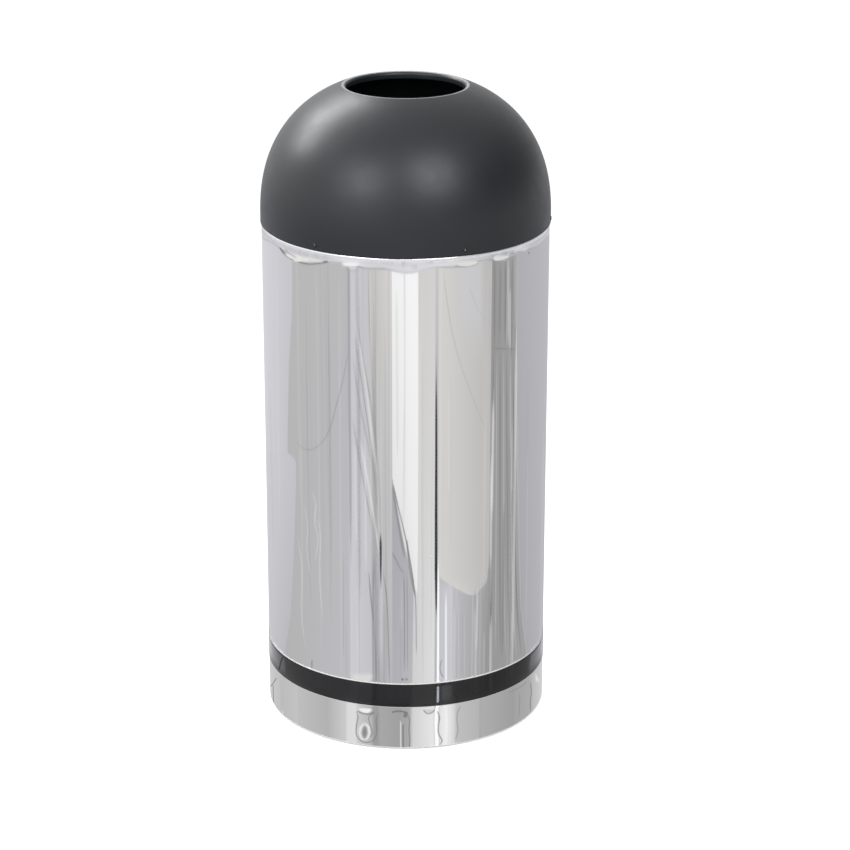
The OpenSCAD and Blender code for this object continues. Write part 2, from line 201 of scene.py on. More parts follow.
class Finish:
    """A procedural material: a Principled shader and the textures that drive it."""

    def __init__(self, name, **sockets):
        self.material = bpy.data.materials.new(name)
        self.material.use_nodes = True
        self.tree = self.material.node_tree
        self.shader = self.tree.nodes["Principled BSDF"]
        set_inputs(self.shader, sockets)
        self.place = self.add("TexCoord", "Object")

    def add(self, kind, out, *terms, **values):
        return add_node(self.tree, kind, out, *terms, **values)

    def drive(self, socket, source):
        """Links a source to a socket of the shader."""
        self.tree.links.new(source, self.shader.inputs[socket])

    def maths(self, operation, *terms):
        return self.add("Math", "Value", *terms, operation=operation)

    def stretched(self, x, y, z):
        """Object coordinates multiplied along each axis."""
        return self.add("Mapping", "Vector", self.place, Scale=(x, y, z))

    def height(self):
        return self.add("SeparateXYZ", "Z", self.place)

    def reach(self):
        """Distance from the axis."""
        return self.add("VectorMath", "Value", self.stretched(1, 1, 0), operation="LENGTH")

    def noise(self, scale, detail=2.0, roughness=0.5, place=None):
        place = place or self.place
        return self.add("TexNoise", "Fac", place, Scale=scale, Detail=detail, Roughness=roughness)

    def grains(self, scale):
        """A random value for each grain of a crystal pattern."""
        return self.add("SeparateColor", "Red", self.add("TexVoronoi", "Color", self.place, Scale=scale))

    def ramp(self, value, low, high, start=0.3, end=0.7):
        """Goes from low to high while a value goes from start to end."""
        ends = {"From_Min": start, "From_Max": end, "To_Min": low, "To_Max": high}
        return self.add("MapRange", "Result", value, **ends)

    def blend(self, share, low, high):
        """A colour between two, each three numbers or a socket."""
        made = self.add("Mix", None)
        made.data_type = "RGBA"
        for socket, tint in zip([s for s in made.inputs if s.type == "RGBA"], (low, high)):
            if isinstance(tint, tuple):
                socket.default_value = (*tint, 1)
            else:
                self.tree.links.new(tint, socket)
        self.tree.links.new(share, made.inputs["Factor"])
        return next(s for s in made.outputs if s.type == "RGBA")

    def coat(self, tones, shine, relief):
        """Noise for the colour, the roughness and the bump: in each case the noise's scale and detail,
        then two colours, two roughnesses, or the bump's height in metres and its strength."""
        self.drive("Roughness", self.ramp(self.noise(*shine[:2]), *shine[2:]))
        self.bump(self.noise(*relief[:2]), *relief[2:])
        colour = self.blend(self.noise(*tones[:2]), *tones[2:])
        self.drive("Base Color", colour)
        return colour

    def bump(self, value, height, strength):
        made = self.add("Bump", None, Strength=strength, Distance=height)
        self.tree.links.new(value, made.inputs["Height"])
        self.drive("Normal", made.outputs["Normal"])


def polished_steel(bead_rough=0.26):
    made = Finish("polished_steel", Metallic=1.0)
    made.drive("Base Color", made.blend(made.noise(3.0, 3.0), (0.885, 0.885, 0.895), (0.915, 0.915, 0.92)))
    haze = made.noise(1.0, 4.0, 0.6, made.stretched(160, 160, 2.5))
    # The rolled bead is less polished than the wall
    rolled = made.ramp(made.height(), 0.0, 1.0, BODY_TOP - 5 * MM, BODY_TOP - 3 * MM)
    made.drive("Roughness", made.maths("MULTIPLY_ADD", rolled, bead_rough, made.ramp(haze, 0.025, 0.06)))
    return made.material


def black_coating():
    made = Finish("black_coating", Specular_IOR_Level=0.5)
    coat = made.coat((9.0, 3.0, (0.0073, 0.0098, 0.0117), (0.0094, 0.0122, 0.0143)),
                     (60.0, 4.0, 0.39, 0.44), (900.0, 2.0, 0.00003, 0.2))
    # A grey band is painted on the lip's edge: a painted highlight for the bright reflection line along the
    # lip
    reach = made.reach()
    painted_lip_highlight = made.ramp(reach, 0.0, 1.0, 0.0797, 0.0802)
    outside = made.ramp(reach, 1.0, 0.0, 0.0829, 0.0842)
    above = made.ramp(made.height(), 0.0, 1.0, TOP_Z - 0.0022, TOP_Z - 0.0012)
    for other in (outside, above, made.ramp(made.noise(140.0, 4.0), 0.55, 1.0)):
        painted_lip_highlight = made.maths("MULTIPLY", painted_lip_highlight, other)
    made.drive("Base Color", made.blend(painted_lip_highlight, coat, (0.34, 0.345, 0.355)))
    return made.material


def black_film():
    made = Finish("black_film", Specular_IOR_Level=0.5)
    coat = made.coat((30.0, 4.0, (0.0075, 0.0078, 0.0085), (0.0105, 0.0108, 0.0115)),
                     (120.0, 3.0, 0.05, 0.08), (260.0, 2.0, 0.00002, 0.25))
    # Pale colour is painted along the film's top and bottom edges: a painted highlight for the light lines
    # there
    height = made.height()
    top = made.ramp(height, 0.0, 1.0, BAND_HIGH - 1.9 * MM, BAND_HIGH - 1.2 * MM)
    low = made.ramp(height, 0.75, 0.0, BAND_LOW + 0.5 * MM, BAND_LOW + 0.9 * MM)
    made.drive("Base Color", made.blend(made.maths("ADD", top, low), coat, (0.82, 0.81, 0.78)))
    return made.material


def black_fastener():
    made = Finish("black_fastener", Specular_IOR_Level=0.5)
    coat = made.coat((400.0, 3.0, (0.004, 0.004, 0.0045), (0.009, 0.009, 0.01)),
                     (500.0, 3.0, 0.3, 0.42), (1500.0, 2.0, 0.00004, 0.3))
    # The broken pin in a rivet's middle is bare
    bare = made.ramp(made.reach(), 1.0, 0.0, 192.2 * MM, 192.35 * MM)
    made.drive("Base Color", made.blend(bare, coat, (0.3, 0.3, 0.31)))
    return made.material


def zinc_spangle():
    made = Finish("zinc_spangle", Metallic=1.0)
    grain = made.grains(95.0)
    made.drive("Base Color", made.blend(grain, (0.46, 0.47, 0.485), (0.66, 0.67, 0.68)))
    made.drive("Roughness", made.ramp(grain, 0.3, 0.46))
    made.bump(made.noise(700.0, 3.0), 0.00003, 0.3)
    return made.material


def bare_steel():
    made = Finish("bare_steel", Metallic=1.0)
    grain = made.noise(1.0, 4.0, 0.6, made.stretched(60, 900, 900))
    made.drive("Base Color", made.blend(made.noise(18.0, 4.0), (0.5, 0.505, 0.515), (0.6, 0.605, 0.61)))
    made.drive("Roughness", made.ramp(grain, 0.24, 0.38))
    made.bump(grain, 0.00002, 0.35)
    return made.material


def plain_finish(name, tones, shine, relief, **sockets):
    """A finish that is the same all over, see Finish.coat."""
    made = Finish(name, **sockets)
    made.coat(tones, shine, relief)
    return made.material


steel_polish = polished_steel()
dome_black = black_coating()
band_black = black_film()
rivet_black = black_fastener()
spangle = zinc_spangle()
steel_plain = bare_steel()
ring_black = plain_finish(
    "black_steel", (25.0, 4.0, (0.014, 0.0145, 0.0155), (0.021, 0.0215, 0.023)), (90.0, 4.0, 0.34, 0.46),
    (700.0, 2.0, 0.00004, 0.3), Specular_IOR_Level=0.5)
zinc = plain_finish(
    "zinc_plate", (120.0, 4.0, (0.56, 0.57, 0.58), (0.68, 0.69, 0.69)), (260.0, 3.0, 0.24, 0.36),
    (900.0, 2.0, 0.00003, 0.3), Metallic=1.0)
wire_metal = plain_finish(
    "drawn_wire", (60.0, 4.0, (0.54, 0.55, 0.56), (0.7, 0.71, 0.71)), (300.0, 4.0, 0.22, 0.4),
    (1200.0, 2.0, 0.00004, 0.35), Metallic=1.0)
rivet_bright = plain_finish(
    "soft_metal", (200.0, 3.0, (0.68, 0.68, 0.69), (0.8, 0.8, 0.8)), (600.0, 3.0, 0.24, 0.38),
    (1600.0, 2.0, 0.00004, 0.3), Metallic=1.0)
plastic = plain_finish(
    "moulded_plastic", (80.0, 3.0, (0.02, 0.02, 0.021), (0.03, 0.03, 0.031)), (500.0, 3.0, 0.42, 0.58),
    (1400.0, 3.0, 0.00006, 0.5), Specular_IOR_Level=0.45)


def dress(made, material, body, slot, *replaced):
    """Gives a piece its material and body, and lets it stand for its CAD nodes. The slot is not used."""
    made.data.materials.clear()
    made.data.materials.append(material)
    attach(made, body)
    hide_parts(*replaced)


# Body shell
BODY_T = 0.9 * MM
BEAD_R = 3 * MM
BEAD_END = 250
HEM_R = 1.7 * MM
HEM_LEG_TOP = 8.9 * MM
JOINT_HALF = 0.3 * MM
JOINT_DEPTH = 0.35 * MM
JOINT_SLOPE = 0.06 * MM
FOLD_HALF = 4.5 * MM
FOLD_RISE = 1.8 * MM
FOLD_LOW, FOLD_HIGH = 12.5 * MM, 646 * MM
FOLD_EDGE = 0.25 * MM
# Above and below these heights the wall's rows are close
LOW_DETAIL, TOP_DETAIL = 0.112, BODY_TOP - 0.036
# The hoop's welds draw the sheet in under the bead: turn from the front, half width and height of
# each drawn patch, in degrees and millimetres. They are rounds of a hand's work, none is like another.
WELD_SLOPE = 0.0146
WELD_BASE = 5.0
WELD_SOFT = 2.2 * MM
WELDS = [
    (-44, 13, 13), (-15, 7, 6), (0.5, 8.5, 11), (20, 9, 6), (41, 7, 6.5), (64, 12, 6), (88, 9, 12),
    (112, 14, 8), (139, 8, 15), (161, 7, 6), (183, 12, 11), (208, 7, 15), (231, 10, 7), (252, 8, 12),
    (279, 12, 9),
]
# Shallow dents beside the pan's locked seam: turn from the front, height, half sizes and depth
DENTS = [
    (-18, 30, 4.2, 15, 0.24), (15, 33, 2.6, 24, 0.2), (-36, 42, 4, 9, 0.12), (48, 36, 3, 20, 0.16),
    (74, 26, 5, 14, 0.15), (-71, 36, 4, 20, 0.16), (110, 30, 5, 12, 0.2), (150, 38, 4, 18, 0.18),
    (196, 28, 6, 12, 0.22), (228, 36, 4, 16, 0.16), (262, 30, 4, 14, 0.2),
]
# Depth of the uneven strip round the foot, and of the faint wave of the whole sheet
FOOT_DEPTH = 0.055 * MM
WAVE_DEPTH = 0.012 * MM


def weld_height(turns):
    """Height of the drawn zone under the bead, in metres, all round."""
    height = np.full(np.shape(turns), WELD_BASE)
    for turn, half, size in WELDS:
        away = turn_gap(turns, FRONT + radians(turn)) / radians(half)
        height = height + size * np.exp(-away * away)
    return height * MM


def weld_pull(turns, z):
    """How far the welds draw the outer face in at heights z."""
    above = z - (BODY_TOP - BEAD_R - weld_height(turns))
    return WELD_SLOPE * (above + np.sqrt(above * above + WELD_SOFT * WELD_SOFT)) / 2


def wall_pull(turns, z):
    """How far the outer face stands in at heights z: the welds, the foot's dents and a faint wave."""
    foot = np.exp(-(((z - 32 * MM) / (24 * MM)) ** 2))
    ripple = 1 + np.sin(7 * turns + 0.6) * np.sin(TURN * z / (74 * MM) + 1.1 * np.sin(3 * turns))
    pull = weld_pull(turns, z) + FOOT_DEPTH * foot * ripple
    for turn, height, half, tall, depth in DENTS:
        away = turn_gap(turns, FRONT + radians(turn)) / radians(half)
        up = (z - height * MM) / (tall * MM)
        pull = pull + depth * MM * np.exp(-away * away - up * up)
    wave = np.sin(5 * turns + 0.9) * np.sin(TURN * z / 0.31 + 0.4)
    wave = wave + 0.7 * np.sin(11 * turns + 2.1 * np.sin(TURN * z / 0.43))
    wave = wave + 0.5 * np.sin(17 * turns + TURN * z / 0.9)
    return pull + WAVE_DEPTH * (2.2 + wave)


def build_body():
    hem = (BODY_R - HEM_R, BODY_LOW + HEM_R)
    bead = (BODY_R - BEAD_R, BODY_TOP - BEAD_R)
    wall = spread(hem[1], LOW_DETAIL, 2.6 * MM) + spread(LOW_DETAIL, TOP_DETAIL, 11 * MM)
    wall += spread(TOP_DETAIL, bead[1], 1.5 * MM)
    path = line((BODY_R - 2 * HEM_R, HEM_LEG_TOP), (BODY_R - 2 * HEM_R, hem[1]), 3)
    path += arc(hem, HEM_R, 180, 360, 14)
    wall_rows = range(len(path) - 1, len(path) + len(wall))
    path += [(BODY_R, z) for z in wall[1:]]
    path += arc(bead, BEAD_R, 0, BEAD_END, 26)
    # The inner face is plain, so it needs few rows, but for the ends of the folded seam
    inner = inner_side(path, BODY_T)
    inner_r = BODY_R - BODY_T
    start = next(i for i, q in enumerate(inner) if abs(q[0] - inner_r) < TINY)
    end = start
    while abs(inner[end][0] - inner_r) < TINY and end < len(inner) - 1:
        end += 1
    straight = inner[start:end - 1:6] + [inner[end - 1]]
    straight += [(inner_r, z) for z in (FOLD_LOW, FOLD_LOW + FOLD_EDGE, FOLD_HIGH - FOLD_EDGE, FOLD_HIGH)]
    straight.sort(key=lambda q: -q[1])
    profile = path + inner[:start] + straight + inner[end:]
    straight_rows = range(len(path) + start, len(path) + start + len(straight))

    seam_steps = [JOINT_HALF, JOINT_HALF + JOINT_SLOPE]
    seam_steps += [FOLD_HALF - FOLD_EDGE, FOLD_HALF, FOLD_HALF + 2 * MM]
    extra = [BACK + side * step / BODY_R for side in (-1, 1) for step in seam_steps]
    turns = np.array(sorted(list(even_turns(432)) + extra))
    gap = np.abs(turn_gap(turns, BACK)) * BODY_R
    in_joint = gap < JOINT_HALF + JOINT_SLOPE / 2
    in_fold = gap < FOLD_HALF - FOLD_EDGE / 2

    def shape(i, angles, radii, heights):
        row_r, row_z = profile[i]
        if i in wall_rows:
            radii = radii - wall_pull(angles, heights)
            if BODY_LOW + HEM_R < row_z < BODY_TOP - BEAD_R:
                radii = radii - JOINT_DEPTH * in_joint
        elif i in straight_rows:
            if FOLD_LOW < row_z < FOLD_HIGH:
                radii = radii - FOLD_RISE * in_fold
        elif row_z > BODY_TOP - 3 * BEAD_R:
            radii = radii - wall_pull(angles, np.full(len(angles), bead[1]))
        elif row_r > BODY_R - HEM_R:
            radii = radii - wall_pull(angles, np.full(len(angles), hem[1]))
        return radii, heights

    made = lathe("body_sheet", profile, turns, shape, smooth_deg=40)
    dress(made, steel_polish, "cabinet", "polished_body", "body_shell")


build_body()


def rounded_section(r_in, r_out, low, high, radius, rows=1):
    """Closed outline of an upright strip with rounded edges."""
    corners = arc((r_out - radius, low + radius), radius, 270, 360, 4)
    corners += [(r_out, z) for z in spread(low + radius, high - radius, (high - low) / rows)[1:]]
    corners += arc((r_out - radius, high - radius), radius, 0, 90, 4)
    corners += arc((r_in + radius, high - radius), radius, 90, 180, 4)
    corners += [(r_in, z) for z in spread(low + radius, high - radius, (high - low) / rows)[:0:-1]]
    corners += arc((r_in + radius, low + radius), radius, 180, 270, 4)
    return corners


# Hoop behind the bead
HOOP_T = 1.2 * MM
HOOP_ROUND = 0.3 * MM
hoop_section = rounded_section(HOOP_R - HOOP_T, HOOP_R, HOOP_LOW, HOOP_HIGH, HOOP_ROUND, 4)
hoop = lathe("mouth_hoop", hoop_section, even_turns(256))
dress(hoop, steel_plain, "cabinet", "plain_steel", "top_hoop")

# Black band, open at its joint in the back
BAND_T = 0.35 * MM
BAND_ROUND = 0.15 * MM
BAND_JOINT = 0.6 * MM
BAND_STEPS = 360


def build_band():
    section = rounded_section(BAND_R - BAND_T, BAND_R, BAND_LOW, BAND_HIGH, BAND_ROUND, 5)
    half = BAND_JOINT / 2 / BAND_R
    turns = [BACK + half + (TURN - 2 * half) * i / BAND_STEPS for i in range(BAND_STEPS + 1)]
    points, faces = [], []
    for turn in turns:
        points += [(r * cos(turn), r * sin(turn), z) for r, z in section]
    count = len(section)
    for i in range(len(turns) - 1):
        for k in range(count):
            n = (k + 1) % count
            faces.append((i * count + k, (i + 1) * count + k, (i + 1) * count + n, i * count + n))
    faces.append(tuple(range(count)))
    faces.append(tuple(range(len(points) - 1, len(points) - 1 - count, -1)))
    made = make_object("foot_band", points, faces)
    dress(made, band_black, "cabinet", "black_band", "accent_band")


build_band()

# Dome: skirt, superellipse crown, lip, collar and the collar's hem
DOME_T = 1.0 * MM
SKIRT_H = 9.2 * MM
DOME_FULLNESS = 2.29
OPENING_R = 77.8 * MM
LIP_R = 4.6 * MM
LIP_LEAN = 20
COLLAR_H = 10 * MM
COLLAR_HEM_R = 1.5 * MM
COLLAR_LEG = 2.5 * MM
DOME_EDGE = 0.35 * MM
DOME_STEPS = 84


def build_dome():
    crown_z = SEAT_Z + SKIRT_H
    lip_c = (OPENING_R + LIP_R, TOP_Z - LIP_R)
    lip = arc(lip_c, LIP_R, 90 - LIP_LEAN, 180, 22)
    share = (lip[0][0] / DOME_R) ** DOME_FULLNESS
    crown_h = (lip[0][1] - crown_z) / (1 - share) ** (1 / DOME_FULLNESS)
    last = acos(sqrt(share))
    power = 2 / DOME_FULLNESS
    crown = []
    for i in range(DOME_STEPS):
        a = last * i / DOME_STEPS
        crown.append((DOME_R * cos(a) ** power, crown_z + crown_h * sin(a) ** power))
    # The curve leaves the skirt upright, so its first points are close together
    crown = [crown[0]] + [q for q in crown[1:] if q[1] > crown_z + 0.4 * MM]
    hem_c = (OPENING_R + COLLAR_HEM_R, TOP_Z - COLLAR_H + COLLAR_HEM_R)
    hem_end = (OPENING_R + 2 * COLLAR_HEM_R, hem_c[1] + COLLAR_LEG)
    path = [(DOME_R - DOME_EDGE / 3, SEAT_Z), (DOME_R, SEAT_Z + DOME_EDGE)]
    path += line((DOME_R, SEAT_Z + 2 * DOME_EDGE), crown[0], 5)
    path += crown + lip
    path += line((OPENING_R, lip[-1][1] - 0.6 * MM), (OPENING_R, hem_c[1]), 2)
    path += arc(hem_c, COLLAR_HEM_R, 180, 360, 14)
    path += [hem_end]
    made = lathe("dome_sheet", path + inner_side(path, DOME_T), even_turns(288), smooth_deg=40)
    dress(made, dome_black, "dome", "black_dome", "dome_shell")


build_dome()

# Ring inside the skirt
RING_T = 1.0 * MM
RING_LEAD = 2 * MM
RING_BEND = 0.8 * MM
RING_CORNER = 1.5 * MM
REACH_R = 184.0 * MM


def build_ring():
    path = [(REACH_R - RING_LEAD, RING_LOW), (REACH_R, RING_LOW + RING_LEAD)]
    path += line((REACH_R, RING_LOW + 1.5 * RING_LEAD), (REACH_R, SEAT_Z - RING_BEND), 5)
    path += arc((REACH_R + RING_BEND, SEAT_Z - RING_BEND), RING_BEND, 180, 90, 8)
    path += arc((RING_R - RING_CORNER, SEAT_Z + RING_CORNER), RING_CORNER, 270, 360, 10)
    path += [(RING_R, (SEAT_Z + RING_CORNER + RING_HIGH) / 2), (RING_R, RING_HIGH)]
    made = lathe("seat_ring", path + inner_side(path, RING_T), even_turns(256))
    dress(made, ring_black, "dome", "black_ring", "dome_ring")


build_ring()

# Blind rivets through the skirt
RIVET_Z = 690.0 * MM
RIVET_FIRST = FRONT + radians(23)
RIVET_COUNT = 6
RIVET_SEAT = 192.05 * MM
PIN_END, PIN_EDGE, PIN_TIP = 192.0 * MM, 192.03 * MM, 192.2 * MM
RIVET_HEAD = (3.2 * MM, 1.1 * MM)
RIVET_PIT = 1.2 * MM
RIVET_SHANK = 2.0 * MM
RIVET_TAIL = (2.8 * MM, 3.2 * MM)
RIVET_TAIL_START = 186.55 * MM
RIVET_EDGE = 0.25 * MM
TAIL_ROUND = 0.9 * MM
PIT_ROUND = 0.12 * MM
RIVET_SIDES = 28


def build_rivets():
    head_r, head_h = RIVET_HEAD
    tail_r, tail_l = RIVET_TAIL
    tail_end = RIVET_TAIL_START + tail_l
    edge = RIVET_EDGE
    profile = [(0, RIVET_TAIL_START)]
    profile += [(tail_r - TAIL_ROUND, RIVET_TAIL_START)]
    profile += arc((tail_r - TAIL_ROUND, RIVET_TAIL_START + TAIL_ROUND), TAIL_ROUND, 280, 360, 5)
    profile += [(tail_r, tail_end - edge), (tail_r - edge, tail_end), (RIVET_SHANK, tail_end)]
    profile += [(RIVET_SHANK, RIVET_SEAT), (head_r - edge / 2, RIVET_SEAT), (head_r, RIVET_SEAT + edge)]
    for a in np.radians(78 * np.arange(1, 10) / 9):
        profile.append((head_r * cos(a) ** 0.8, RIVET_SEAT + edge + (head_h - edge) * sin(a)))
    top = RIVET_SEAT + head_h
    profile = [q for q in profile if q[1] < RIVET_SEAT or q[0] > RIVET_PIT + PIT_ROUND]
    profile += [(RIVET_PIT + PIT_ROUND, top - 0.02 * MM), (RIVET_PIT, top - 0.15 * MM)]
    profile += [(RIVET_PIT - 0.05 * MM, PIN_TIP), (0.5 * MM, PIN_EDGE), (0, PIN_END)]
    points, faces = [], []
    for n in range(RIVET_COUNT):
        turn = RIVET_FIRST + n * TURN / RIVET_COUNT
        out = Vector((cos(turn), sin(turn), 0))
        side = Vector((-sin(turn), cos(turn), 0))
        rings = []
        for r, along in profile:
            sides = RIVET_SIDES if r > TINY else 1
            rings.append(list(range(len(points), len(points) + sides)))
            for k in range(sides):
                a = TURN * k / sides
                points.append(out * along + side * r * cos(a) + Vector((0, 0, RIVET_Z + r * sin(a))))
        faces += bridge(rings, RIVET_SIDES, False)
    made = make_object("skirt_rivets", points, faces, 50)
    dress(made, rivet_black, "dome", "black_rivet", "dome_rivets")


build_rivets()

# Base pan: a disc with a turned down flange
PAN_T = 1.2 * MM
PAN_BEND = 3 * MM
PAN_PITCH = 14 * MM


def build_pan():
    centre = (PAN_R - PAN_BEND, PAN_TOP - PAN_BEND)
    profile = [(PAN_R - PAN_T, PAN_EDGE), (PAN_R, PAN_EDGE)]
    profile += arc(centre, PAN_BEND, 0, 90, 10)
    flat = spread(centre[0], 0.0, PAN_PITCH)
    profile += [(r, PAN_TOP) for r in flat[1:]]
    profile += [(0, PAN_TOP), (0, PAN_TOP - PAN_T)]
    profile += [(r, PAN_TOP - PAN_T) for r in flat[:0:-1]]
    profile += arc(centre, PAN_BEND - PAN_T, 90, 0, 6)
    made = lathe("floor_pan", profile, even_turns(192))
    dress(made, steel_plain, "cabinet", "plain_steel", "base_pan")


build_pan()

# Liner wall with its rolled rim and folded side seam
LINER_T = 0.7 * MM
LINER_R = 171.0 * MM
RIM_BORE = 1.85 * MM
RIM_CENTRE = (LINER_R + RIM_BORE, LINER_RIM - RIM_BORE - LINER_T)
RIM_END = -120
FOOT_R = 1.1 * MM
LINER_PITCH = 14 * MM
LINER_SEAM_TURN = radians(45)
LINER_SEAM_HALF = 4 * MM
LINER_SEAM_RISE = 0.8 * MM
LINER_SEAM_EDGE = 0.3 * MM
LINER_SEAM_LOW, LINER_SEAM_HIGH = 19.7 * MM, 642.1 * MM


def build_liner():
    rows = spread(LINER_LOW, RIM_CENTRE[1], LINER_PITCH)
    rows += [LINER_SEAM_LOW, LINER_SEAM_LOW + LINER_SEAM_EDGE]
    rows += [LINER_SEAM_HIGH - LINER_SEAM_EDGE, LINER_SEAM_HIGH]
    path = [(LINER_R, z) for z in sorted(rows) if z < RIM_CENTRE[1] - 0.5 * MM]
    path += arc(RIM_CENTRE, RIM_BORE, 180, RIM_END, 20)
    profile = path + inner_side(path, LINER_T)
    edges = [LINER_SEAM_HALF - LINER_SEAM_EDGE, LINER_SEAM_HALF]
    extra = [LINER_SEAM_TURN + side * step / LINER_R for side in (-1, 1) for step in edges]
    turns = np.array(sorted(list(even_turns(288)) + extra))
    gap = np.abs(turn_gap(turns, LINER_SEAM_TURN)) * LINER_R
    proud = gap < LINER_SEAM_HALF - LINER_SEAM_EDGE / 2

    def shape(i, angles, radii, heights):
        r, z = profile[i]
        if abs(r - LINER_R) < TINY and LINER_SEAM_LOW < z < LINER_SEAM_HIGH and i < len(path):
            radii = radii + LINER_SEAM_RISE * proud
        return radii, heights

    made = lathe("liner_sheet", profile, turns, shape)
    dress(made, spangle, "liner", "galvanised", "liner_wall")


def build_liner_bottom():
    under = 20.5 * MM
    bend = 1.5 * MM
    slack = 0.05 * MM
    foot_in = LINER_R - 2 * LINER_T - slack
    foot_out, foot_mid = foot_in + 2 * FOOT_R, FOOT_LOW + FOOT_R
    path = [(0, under)] + [(r, under) for r in spread(0.0, foot_in - bend, LINER_PITCH)[1:]]
    path += arc((foot_in - bend, under - bend), bend, 90, 0, 6)
    path += arc((foot_in + FOOT_R, foot_mid), FOOT_R, 180, 360, 12)
    path += [(foot_out, foot_mid + 3 * MM), (foot_out, foot_mid + 6 * MM)]
    made = lathe("liner_floor", path + inner_side(path, LINER_T), even_turns(192))
    dress(made, spangle, "liner", "galvanised", "liner_bottom")


build_liner()
build_liner_bottom()

# CAD nodes whose shapes are right as they are
KEPT = {
    "glide_front": plastic, "glide_right": plastic, "glide_back": plastic, "glide_left": plastic,
    "base_rivets": rivet_bright, "liner_rim_wire": wire_metal, "ear_right": zinc, "ear_left": zinc,
    "ear_rivets": rivet_bright, "liner_bail": wire_metal,
}
for name, material in KEPT.items():
    for held in nodes[name].material_slots:
        held.material = material

# Studio. The polished wall is a mirror, so its look is that of the room round it. The room is a low
# round bowl of cards that only reflections see. A card is drawn where the photograph shows its
# reflection, and stands where a ray from the camera's place, reflected by the wall, meets the bowl.
PHOTO_MID_X = 406.3
PHOTO_HORIZON = -496.4
PHOTO_SCALE = (2530, 2563)
BOWL_IN, BOWL_OUT, BOWL_H, BOWL_POWER = 0.2, 1.0, 0.43, 2.2
LEFT, RIGHT = 272.0, 540.6
GAIN = 0.9
COOL = (0.975, 0.975, 1.03)
PLAIN = (1.0, 1.0, 1.0)
WARM = (1.015, 1.0, 0.965)
NAVY = (0.8, 0.95, 1.25)
LAMP = (0.95, 0.97, 1.08)
MAX_SIDE = 0.9985
COLUMN_TURN = radians(1.2)
PITCH = 4
SAME = 0.01
THIN = 0.02
MOST_SOFT = 0.45
MIDDLE_Y = 300
RING_COLUMNS = 240
RING_STEP = 0.012
RING_DROP = 0.15 * MM
STREAK_LIFT = 0.012
STREAK_WIDE = 1.45
TAPER, TIP = 6, 0.15
NUDGE = 1e-4
LEAST = 1e-9
NEAREST_EDGE = 3 * MM
LAYER_START, LAYER_STEP, LAYER_GROWTH = 0.3, 0.08, 1.2
AIM_ROUNDS, HIT_ROUNDS = 40, 36
FARTHEST = 3.0
# Degrees past a card's outer side, and its strength there against the step before
SWEEP = [(3, 1), (6, 1), (10, 0.6), (15, 0)]


def on_body(x, y):
    """Turn from the front and height of the place on the wall that the photograph shows at x, y."""
    x, y = np.broadcast_arrays(np.asarray(x, float), np.asarray(y, float))
    turn = np.zeros(x.shape)
    for _ in range(AIM_ROUNDS):
        reach = -EYE.y - BODY_R * np.cos(turn)
        side = (x - PHOTO_MID_X) * reach / (PHOTO_SCALE[0] * BODY_R)
        turn = 0.5 * turn + 0.5 * np.arcsin(np.clip(side, -MAX_SIDE, MAX_SIDE))
    reach = -EYE.y - BODY_R * np.cos(turn)
    return turn, EYE.z - (y - PHOTO_HORIZON) * reach / PHOTO_SCALE[1]


def bowl_height(radius, layer):
    """Height of the bowl of cards at a radius. Later layers stand a little in front."""
    share = np.maximum(radius - BOWL_IN, 0) / (BOWL_OUT - BOWL_IN)
    in_front = LAYER_START + layer * (LAYER_STEP + LAYER_GROWTH * share * share)
    return BOWL_H * share**BOWL_POWER + in_front * MM


def mirrored(turn, z, layer):
    """Where the bowl shows in the wall at those turns and heights, seen from the camera's place."""
    z = np.clip(z, NEAREST_EDGE, BODY_TOP - 2 * MM)
    step = 0.1 * MM
    lean = (weld_pull(turn + FRONT, z + step) - weld_pull(turn + FRONT, z - step)) / (2 * step)
    swing = (weld_pull(turn + FRONT + NUDGE, z) - weld_pull(turn + FRONT - NUDGE, z)) / (2 * NUDGE * BODY_R)
    out = np.stack([np.sin(turn), -np.cos(turn), np.zeros_like(turn)], -1)
    along = np.stack([np.cos(turn), np.sin(turn), np.zeros_like(turn)], -1)
    normal = out + along * swing[..., None]
    normal[..., 2] += lean
    normal /= np.linalg.norm(normal, axis=-1, keepdims=True)
    start = BODY_R * out
    start[..., 2] = z
    sight = start - np.array(EYE)
    sight /= np.linalg.norm(sight, axis=-1, keepdims=True)
    ray = sight - 2 * (sight * normal).sum(-1, keepdims=True) * normal
    near, far = np.zeros(turn.shape), np.full(turn.shape, FARTHEST)
    for _ in range(HIT_ROUNDS):
        mid = (near + far) / 2
        spot = start + mid[..., None] * ray
        above = spot[..., 2] > bowl_height(np.hypot(spot[..., 0], spot[..., 1]), layer)
        near, far = np.where(above, mid, near), np.where(above, far, mid)
    return start + near[..., None] * ray


def to_linear(level):
    """Linear brightness of a grey written as 0 to 255 in a picture."""
    c = level / 255
    return c / 12.92 if c <= 0.04045 else ((c + 0.055) / 1.055) ** 2.4


card_points, card_faces, card_glow = [], [], []
streak_count = 0


def glow(level, tint=PLAIN, alpha=1.0, boost=1.0):
    """Emission of a card whose reflection shows at a level between 0 and 255."""
    shown = to_linear(level) / GAIN * boost
    return np.array((shown * tint[0], shown * tint[1], shown * tint[2], alpha))


def plain(*levels):
    """Glows without a tint; cool and warm give them one."""
    return [glow(level) for level in levels]


def cool(*levels):
    return [glow(level, COOL) for level in levels]


def warm(*levels):
    return [glow(level, WARM) for level in levels]


def patch(spots, shines):
    """Adds a grid of places and glows to the cards."""
    first = len(card_points)
    tall, wide = spots.shape[:2]
    card_points.extend(map(tuple, spots.reshape(-1, 3)))
    card_glow.extend(shines.reshape(-1))
    for i in range(tall - 1):
        for k in range(wide - 1):
            a = first + i * wide + k
            card_faces.append((a, a + 1, a + 1 + wide, a + wide))


